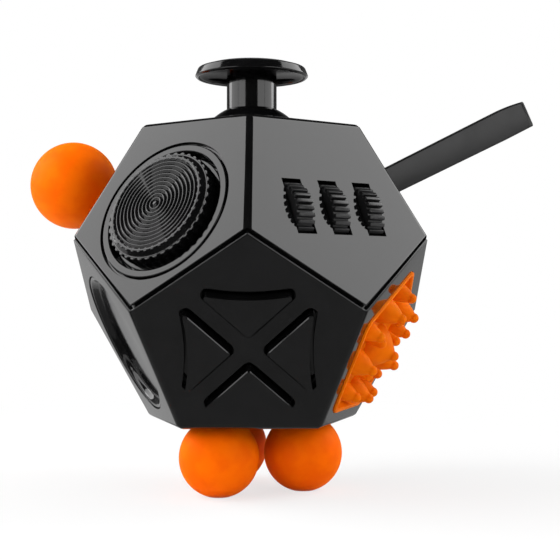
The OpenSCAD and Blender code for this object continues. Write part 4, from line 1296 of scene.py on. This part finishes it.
@dataclass(frozen=True)
class Plug:
    """The headed plug that holds a soft piece in the casing's wall."""

    radius: float = 2.2
    head_r: float = 3.0
    length: float = 4.2
    head_h: float = 1.1

    def section(self) -> Outline:
        """Gives its section from its end to the wall, open where the soft piece goes on.

        Returns:
            Radius and height of each point.
        """
        head = self.head_h - self.length
        return [(0.0, -self.length), (self.head_r, -self.length), (self.head_r, head), (self.radius, head)]


@dataclass(frozen=True)
class Nubs:
    """One ring of equal nubs on the massage pad: its layout, their radius and their height."""

    ring: Ring
    radius: float
    height: float


@dataclass
class MassagePad:
    """The soft pentagon with nubs, pressed into its recess."""

    toy: Toy
    drop: float = 1.05
    apothem: float = 10.45
    corner: float = 1.8
    least_corner: float = 0.5
    depth: float = 1.3
    sunk: float = 0.8
    foot_edge: float = 0.15
    rim_w: float = 0.7
    rim_h: float = 0.3
    # Roundings of the rim's outer and inner edge, with the drop at their middle
    rim_edge: float = 0.2
    rim_mid: float = 0.06
    rim_inner: float = 0.25
    rim_inner_mid: float = 0.1
    rim_inner_h: float = 0.22
    # Slope of the rim's inner wall and the fillet at its foot
    wall_in: float = 0.1
    wall_foot: float = 0.3
    wall_foot_h: float = 0.2
    tip_r: float = 0.75
    tip_steps: int = 12
    neck: float = 15.0
    bulge: float = 1.6
    flank_steps: int = 14
    nub_steps: int = 40
    nubs: tuple[Nubs, ...] = (
        Nubs(Ring(1, 0.0), 3.6, 3.8),
        Nubs(Ring(5, 7.4, 126), 2.1, 3.2),
        Nubs(Ring(5, 8.9, 90), 1.5, 2.4),
        Nubs(Ring(5, 4.9, 90), 0.95, 2.2),
    )
    plug: Plug = Plug()
    plug_edge: float = 0.25

    def build(self) -> None:
        """Makes the pad with its rim and nubs, and dresses the washer behind the wall."""
        pad = self.plate()
        for nubs in self.nubs:
            pad = with_ring(pad, self.nub(nubs.radius, nubs.height), nubs.ring, ORANGE_PAD_SHADED)
        pad.transform(self.toy.place(Face.NUBS, self.drop))
        self.toy.piece("massage_pad_soft", pad, ORANGE_PAD_SHADED, "massage_pad")
        self.toy.dress(BRIGHT_STEEL, "massage_washer")

    def plate(self) -> Mesh:
        """Gives the pad's plate with its raised rim and its plug, without nubs.

        Returns:
            The plate, in the frame of its face.
        """
        top, floor, rim = self.rim_h, -self.sunk, self.rim_w

        def level(inset: float, z: float) -> tuple[Outline, float]:
            """Gives one outline of the plate and its height."""
            return pentagon(self.apothem - inset, max(self.corner - inset, self.least_corner)), z

        levels = [
            level(self.foot_edge, -self.depth),
            level(0.0, -self.depth + self.foot_edge),
            level(0.0, top - self.rim_edge),
            level(self.rim_mid, top - self.rim_mid),
            level(self.rim_edge, top),
            level(rim - self.rim_inner, top),
            level(rim - self.rim_inner_mid, top - self.rim_mid),
            level(rim, top - self.rim_inner_h),
            level(rim + self.wall_in, floor + self.wall_foot_h),
            level(rim + self.wall_foot, floor),
        ]
        mesh = stacked("massage_plate", levels, Matrix.Identity(4))
        bm = bmesh.new()
        bm.from_mesh(mesh)
        plug = filleted([*self.plug.section(), (self.plug.radius, floor), (0.0, floor)], self.plug_edge)
        bm.from_mesh(lathe("massage_plug", plug, Matrix.Identity(4), COARSE_STEPS))
        bm.to_mesh(mesh)
        bm.free()
        return mesh

    def nub(self, radius: float, height: float) -> Mesh:
        """Gives a nub, which bulges up from the pad's floor to a neck with a round tip on it.

        Args:
            radius: Radius at the floor.
            height: Height of the tip over the face.

        Returns:
            The nub, standing at the origin.
        """
        steps = self.flank_steps
        tip = arc((0.0, height - self.tip_r), self.tip_r, -self.neck, 90, self.tip_steps)
        foot = -(self.sunk + self.depth) / 2
        rise = tip[0][1] + self.sunk
        flank = [
            (radius + (tip[0][0] - radius) * (k / steps) ** self.bulge, rise * k / steps - self.sunk)
            for k in range(steps)
        ]
        profile = [(0.0, foot), (radius, foot), *flank, *tip[:-1], (0.0, height)]
        return lathe("massage_nub", profile, Matrix.Identity(4), self.nub_steps, crease=SOFT_CREASE)


@dataclass
class ThumbDish:
    """The smooth hollow for the thumb."""

    toy: Toy
    rim_break: float = 0.16

    def build(self) -> None:
        """Makes the dish with its rim broken."""
        self.toy.polished("thumb_dish", CASING_GLOSS, self.rim_break)


@dataclass
class SiliconeBalls:
    """The ball on its neck at the side and the three balls that the toy stands on."""

    toy: Toy
    side_drop: float = 0.65
    side_r: float = 7.0
    side_z: float = 11.3
    side_steps: int = 48
    neck_r: float = 3.2
    neck_foot_r: float = 4.6
    neck_foot_h: float = 1.0
    neck_edge_in: float = 0.15
    neck_edge_h: float = 0.25
    neck_fillet: float = 0.5
    foot_r: float = 6.0
    foot_z: float = 4.9
    foot_at: float = 8.1
    foot_flat: float = 0.25
    foot_shift: float = 0.2
    foot_turn: float = 4.0
    foot_steps: int = 56
    plug: Plug = Plug()
    plug_edge: float = 0.25
    fit_gap: float = 0.1

    def build(self) -> None:
        """Makes the four balls with their plugs, and dresses what holds them."""
        place = self.toy.place(Face.BALL, self.side_drop)
        ball = lathe("side_ball_soft", self.side_profile(), place, crease=SOFT_CREASE)
        self.toy.piece("side_ball_soft", ball, ORANGE_SILICONE, "side_ball")
        for k in range(3):
            stand = (
                self.toy.place(Face.BOTTOM)
                @ Matrix.Translation((-self.foot_shift * MM, 0, 0))
                @ Matrix.Rotation(math.radians(120 * k + self.foot_turn), 4, "Z")
                @ Matrix.Translation((self.foot_at * MM, 0, 0))
            )
            name = f"foot_ball_{k + 1}_soft"
            foot = lathe(name, self.foot_profile(), stand, crease=SOFT_CREASE)
            self.toy.piece(name, foot, ORANGE_SILICONE, f"foot_ball_{k + 1}")
        self.toy.dress(BRIGHT_STEEL, "side_ball_washer", "foot_plate")

    def side_profile(self) -> Outline:
        """Gives the side ball's section: plug, flared foot, neck and ball.

        Returns:
            Radius and height of each point.
        """
        start = math.degrees(math.asin(self.neck_r / self.side_r)) - 90
        ball = arc((0.0, self.side_z), self.side_r, start, 90, self.side_steps)
        gap = self.fit_gap
        neck = [
            (self.plug.radius, gap),
            (self.neck_foot_r, gap),
            (self.neck_foot_r - self.neck_edge_in, gap + self.neck_edge_h),
            (self.neck_r, gap + self.neck_foot_h),
        ]
        lower = filleted([*self.plug.section(), *neck, ball[0]], self.neck_fillet)
        return [*lower, *ball[1:-1], (0.0, self.side_z + self.side_r)]

    def foot_profile(self) -> Outline:
        """Gives a foot ball's section: plug, ball and the flat that it stands on.

        Returns:
            Radius and height of each point.
        """
        start = math.degrees(math.asin(self.plug.radius / self.foot_r)) - 90
        end = math.degrees(math.asin(1 - self.foot_flat / self.foot_r))
        ball = arc((0.0, self.foot_z), self.foot_r, start, end, self.foot_steps)
        flat_z = self.foot_z + self.foot_r - self.foot_flat
        return [*filleted([*self.plug.section(), ball[0]], self.plug_edge), *ball[1:], (0.0, flat_z)]


@dataclass
class FlickTab:
    """The soft strip that stands out of its face, with its anchor behind the wall."""

    toy: Toy
    rise: float = 3.2
    length: float = 32.4
    width: float = 4.35
    flare: float = 0.55
    thickness: float = 1.5
    bend_l: float = 5.5
    high_bend: float = 0.45
    edge: float = 0.3
    end_edge: float = 0.12
    anchor_z: float = 2.1
    anchor_lip: float = 1.2
    anchor_edge: float = 0.2
    straight_steps: int = 12
    bend_steps: int = 8
    crease: float = 50
    # Heights over the face between which the strip flexes
    flex_from: float = -0.2
    flex_to: float = 3.0

    def build(self) -> None:
        """Makes strip and anchor as one soft piece."""
        place = self.toy.place(Face.TAB, -self.rise)
        mesh = stacked("flick_tab_soft", self.levels(), place, self.crease)
        obj = bpy.data.objects.new("flick_tab_soft", mesh)
        bpy.context.scene.collection.objects.link(obj)
        mesh.materials.append(BLACK_SILICONE.material())
        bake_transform(obj)
        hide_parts("flick_tab", "tab_anchor")
        LOG.info("flick_tab_soft bends between casing and tab")

    def section(self, low: float, high: float, half: float) -> Outline:
        """Gives a rounded oblong section of the strip.

        Args:
            low: Its lower edge along the face.
            high: Its upper edge along the face.
            half: Half of its thickness.

        Returns:
            The outline, anticlockwise.
        """
        return filleted([(-half, low), (half, low), (half, high), (-half, high)], self.edge, closed=True)

    def levels(self) -> list[tuple[Outline, float]]:
        """Gives the sections from the anchor to the rounded end.

        Returns:
            Each section with its height over the face.
        """
        half, wide = self.thickness / 2, self.width / 2
        lip, edge, foot = self.anchor_lip, self.anchor_edge, -self.anchor_z - self.thickness

        def anchor(reach: float) -> Outline:
            """Gives a section that stands out all round the strip."""
            return self.section(-wide - reach, wide + reach, half + reach)

        levels = [
            (anchor(lip - edge), foot),
            (anchor(lip), foot + edge),
            (anchor(lip), -self.anchor_z),
            (anchor(0.0), -self.anchor_z),
        ]
        straight = self.length - self.bend_l
        for k in range(self.straight_steps + 1):
            share = k / self.straight_steps
            levels.append((self.section(-wide - self.flare * share, wide, half), straight * share))
        low, bent = -wide - self.flare, self.bend_l - self.end_edge
        for k in range(1, self.bend_steps + 1):
            share = k / self.bend_steps
            outline = self.section(low, wide - self.high_bend * share**2, half)
            levels.append((outline, straight + bent * share))
        end, high = self.end_edge, wide - self.high_bend
        levels.append((self.section(low + end, high - end, half - end), self.length))
        return levels


@dataclass
class Rocker:
    """The rocker switch in its frame."""

    toy: Toy
    rocker_break: float = 0.25
    frame_break: float = 0.2

    def build(self) -> None:
        """Makes the rocker and its frame, and dresses axle and spring."""
        self.toy.polished("rocker", BLACK_GLOSS, self.rocker_break)
        self.toy.polished("rocker_frame_box", CASING_GLOSS, self.frame_break)
        self.toy.dress(BRIGHT_STEEL, "rocker_axle", "rocker_leaf")


@dataclass
class ClickButtons:
    """Five round push buttons set as the five on a die, with the middle one in orange."""

    toy: Toy
    count: int = 5
    button_break: float = 0.3

    def build(self) -> None:
        """Makes the buttons and the sheet below, and dresses the pan."""
        for k in range(1, self.count + 1):
            finish = ORANGE_GLOSS if k == 1 else BLACK_GLOSS
            self.toy.polished(f"click_button_{k}", finish, self.button_break)
        sheet = dome_sheet("click_sheet_soft", self.toy.nodes["click_sheet"])
        self.toy.piece("click_sheet_soft", sheet, MILKY_SILICONE, "click_sheet")
        self.toy.dress(INNER_MATT, "click_pan")


@dataclass
class SlideSwitch:
    """The ridged knob that slides in its trough."""

    toy: Toy
    knob_break: float = 0.14
    plate_break: float = 0.16

    def build(self) -> None:
        """Makes knob and plate, and dresses the keeper."""
        self.toy.polished("slide_knob", ORANGE_GLOSS, self.knob_break)
        self.toy.polished("slide_plate", CASING_GLOSS, self.plate_break)
        self.toy.dress(INNER_MATT, "slide_keeper")


# Studio


def aim(azimuth: float, elevation: float) -> Vector:
    """Gives the direction at an azimuth from the front, positive to the right, and an elevation.

    Args:
        azimuth: Degrees from the front.
        elevation: Degrees above the floor.

    Returns:
        The direction, of length 1.
    """
    flat, rise = math.cos(math.radians(elevation)), math.sin(math.radians(elevation))
    return Vector((flat * math.sin(math.radians(azimuth)), -flat * math.cos(math.radians(azimuth)), rise))


def level_sheet(name: str, near: Point, far: Point, height: float) -> Object:
    """Lays a level sheet without a material.

    Args:
        name: Its name.
        near: Its corner at the front left, in metres.
        far: Its corner at the back right, in metres.
        height: Its height, in metres.

    Returns:
        The sheet.
    """
    (x0, y0), (x1, y1) = near, far
    corners = [(x, y, height) for x, y in ((x0, y0), (x1, y0), (x1, y1), (x0, y1))]
    mesh = bpy.data.meshes.new(name)
    mesh.from_pydata(corners, [], [(0, 1, 2, 3)])
    obj = bpy.data.objects.new(name, mesh)
    bpy.context.scene.collection.objects.link(obj)
    return obj


@dataclass(frozen=True)
class Softbox:
    """A long flat lamp that stands on each side of the toy.

    Attributes:
        name: Its name, which the side is added to.
        start: Azimuth and elevation of its one end on the right side, seen from the toy.
        end: Azimuth and elevation of its other end.
        width: Its width in metres.
        radiance: How bright its cloth looks on the left and on the right.
        mirrored: Whether glossy surfaces show it.
        distance: How far off its ends are, in metres.
    """

    name: str
    start: tuple[float, float]
    end: tuple[float, float]
    width: float
    radiance: tuple[float, float]
    mirrored: bool = True
    distance: float = 0.38

    def build(self, target: Vector) -> None:
        """Hangs the lamp on each side and turns it to the toy.

        Args:
            target: The point that it faces.
        """
        for side, radiance in zip((-1, 1), self.radiance):
            ends = (self.start, self.end)
            start, end = (aim(side * azimuth, elevation) * self.distance for azimuth, elevation in ends)
            lamp = bpy.data.lights.new(f"{self.name}_{side}", "AREA")
            lamp.shape = "RECTANGLE"
            lamp.size, lamp.size_y = (end - start).length, self.width
            lamp.energy = radiance * math.pi * lamp.size * lamp.size_y
            middle = (start + end) / 2
            along, away = (end - start).normalized(), middle.normalized()
            turn = Matrix((along, away.cross(along), away)).transposed().to_4x4()
            obj = bpy.data.objects.new(lamp.name, lamp)
            obj.matrix_world = Matrix.Translation(target + middle) @ turn
            obj.visible_camera, obj.visible_glossy = False, self.mirrored
            bpy.context.scene.collection.objects.link(obj)


@dataclass(frozen=True)
class ReflectionCard:
    """A glowing card on the floor that only the glossy faces mirror: a painted reflection, which sets how
    bright those faces look where they mirror the floor.

    Attributes:
        name: Its name.
        near: Its corner at the front left, in metres.
        far: Its corner at the back right, in metres.
        level: How bright it looks, where 1 is white.
        height: Its height over the floor, in metres.
    """

    name: str
    near: Point
    far: Point
    level: float
    height: float = 0.0005

    def build(self) -> None:
        """Lays the card out."""
        material = bpy.data.materials.new(self.name)
        material.use_nodes = True
        board = NodeBoard(material.node_tree)
        glow = board.new("ShaderNodeEmission")
        board.join(self.level, glow.inputs["Strength"])
        board.join(glow.outputs["Emission"], board.tree.nodes["Material Output"].inputs["Surface"])
        obj = level_sheet(self.name, self.near, self.far, self.height)
        obj.data.materials.append(material)
        obj.visible_camera = obj.visible_diffuse = obj.visible_shadow = obj.visible_transmission = False


@dataclass
class Studio:
    """Floor, lamps, backdrop and camera."""

    eye: tuple[float, float, float] = (0.004146, -0.190335, 0.029972)
    forward: tuple[float, float, float] = (0.001145, 0.999928, 0.011947)
    up: tuple[float, float, float] = (0.000546, -0.011948, 0.999928)
    lens: float = 79.105
    sensor: float = 36.0
    nearest: float = 0.01
    farthest: float = 50.0
    floor_half: float = 6.0
    floor_white: float = 0.8
    floor_rough: float = 0.9
    floor_glow: float = 0.7
    fade_start: float = 0.05
    fade_end: float = 0.15
    target: tuple[float, float, float] = (0.0, 0.0, 0.035)
    boxes: tuple[Softbox, ...] = (
        Softbox("softbox", (84, 51), (124, 13), 0.19, (3.05, 3.05)),
        Softbox("front_strip", (28, 15), (62, 17), 0.15, (2.7, 2.4)),
        Softbox("side_strip", (63, 12), (114, 12), 0.05, (2.6, 2.4)),
        Softbox("fill", (55, 33), (100, 33), 0.28, (4.2, 0.8), mirrored=False),
    )
    # Glowing cards that only reflections show: painted reflections, dim in front of and under the toy,
    # paler behind it
    cards: tuple[ReflectionCard, ...] = (
        ReflectionCard("card_front", (-0.045, -0.08), (0.045, 0.02), 0.27, height=0.001),
        ReflectionCard("card_dark", (-0.13, -0.4), (0.12, 0.02), 0.06),
        ReflectionCard("card_far", (-1.5, -4.0), (1.5, -0.4), 0.06),
        ReflectionCard("card_left", (-0.3, 0.02), (0.0, 0.5), 0.56),
        ReflectionCard("card_right", (0.0, 0.02), (0.3, 0.5), 0.36),
    )
    ambient: float = 0.36
    dark_room: float = 0.03
    back_wall: float = 0.12
    # Where the back wall sets in, as shares of the direction to the back and upwards
    wall_back: tuple[float, float] = (0.1, 0.45)
    wall_up: tuple[float, float] = (0.65, 0.35)

    def build(self) -> None:
        """Sets up everything that isn't the toy."""
        self.camera()
        self.world()
        self.floor()
        for card in self.cards:
            card.build()
        for box in self.boxes:
            box.build(Vector(self.target))
        bpy.context.scene.view_settings.view_transform = "Standard"

    def camera(self) -> None:
        """Stands the camera where the photograph was taken from."""
        data = bpy.data.cameras.new("camera")
        data.lens, data.sensor_width = self.lens, self.sensor
        data.clip_start, data.clip_end = self.nearest, self.farthest
        ahead, up = Vector(self.forward), Vector(self.up)
        turn = Matrix((ahead.cross(up), up, -ahead)).transposed().to_4x4()
        obj = bpy.data.objects.new("camera", data)
        obj.matrix_world = Matrix.Translation(self.eye) @ turn
        bpy.context.scene.collection.objects.link(obj)
        bpy.context.scene.camera = obj

    def world(self) -> None:
        """Makes the white backdrop behind the toy and the dim room in front of it."""
        world = bpy.data.worlds.new("backdrop")
        bpy.context.scene.world = world
        world.use_nodes = True
        board = NodeBoard(world.node_tree)
        split = board.new("ShaderNodeSeparateXYZ")
        board.join(board.new("ShaderNodeTexCoord").outputs["Generated"], split.inputs["Vector"])
        back = board.remap(split.outputs["Y"], *self.wall_back)
        behind = board.maths("MULTIPLY", back, board.remap(split.outputs["Z"], *self.wall_up))
        studio = board.maths("MAXIMUM", board.maths("MULTIPLY", behind, self.back_wall), self.dark_room)
        path = board.new("ShaderNodeLightPath").outputs
        mirrored = board.maths("MAXIMUM", path["Is Glossy Ray"], path["Is Transmission Ray"])
        seen = board.maths("MULTIPLY", mirrored, studio)
        plain = board.maths("MULTIPLY", board.maths("SUBTRACT", 1.0, mirrored), self.ambient)
        level = board.maths("MAXIMUM", path["Is Camera Ray"], board.maths("ADD", seen, plain))
        backdrop = board.tree.nodes["Background"].inputs
        board.join(level, backdrop["Strength"])
        board.join((1, 1, 1, 1), backdrop["Color"])

    def floor(self) -> None:
        """Lays the pale floor, which keeps the toy's shadow and fades to white far away."""
        material = bpy.data.materials.new("pale_floor")
        material.use_nodes = True
        board = NodeBoard(material.node_tree)
        cloth = board.tree.nodes["Principled BSDF"]
        white = (self.floor_white, self.floor_white, self.floor_white, 1.0)
        settings = {"Base Color": white, "Roughness": self.floor_rough, "Specular IOR Level": 0.0}
        for label, value in settings.items():
            board.join(value, cloth.inputs[label])
        length = board.new("ShaderNodeVectorMath")
        length.operation = "LENGTH"
        board.join(board.new("ShaderNodeTexCoord").outputs["Object"], length.inputs[0])
        fade = board.remap(length.outputs["Value"], self.fade_start, self.fade_end, self.floor_glow)
        path = board.new("ShaderNodeLightPath").outputs
        mirrored = board.maths("MAXIMUM", path["Is Glossy Ray"], path["Is Transmission Ray"])
        shown = board.maths("MAXIMUM", path["Is Camera Ray"], mirrored)
        mix = board.new("ShaderNodeMixShader")
        board.join(board.maths("MULTIPLY", shown, fade), mix.inputs["Fac"])
        board.join(cloth.outputs["BSDF"], mix.inputs[1])
        board.join(board.new("ShaderNodeEmission").outputs["Emission"], mix.inputs[2])
        board.join(mix.outputs["Shader"], board.tree.nodes["Material Output"].inputs["Surface"])
        half = self.floor_half
        obj = level_sheet("floor", (-half, -half), (half, half), 0.0)
        obj.data.materials.append(material)


def main() -> None:
    """Loads the frame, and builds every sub-assembly and the studio."""
    logging.basicConfig(level=logging.INFO, format="%(name)s: %(message)s")
    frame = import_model()
    toy = Toy.from_frame(frame)
    assemblies = (
        Casing, Joystick, Dial, Gears, CrossPad, MassagePad, ThumbDish, SiliconeBalls, FlickTab, Rocker,
        ClickButtons, SlideSwitch,
    )
    for assembly in assemblies:
        assembly(toy).build()
    Studio().build()


if __name__ == "__main__":
    main()
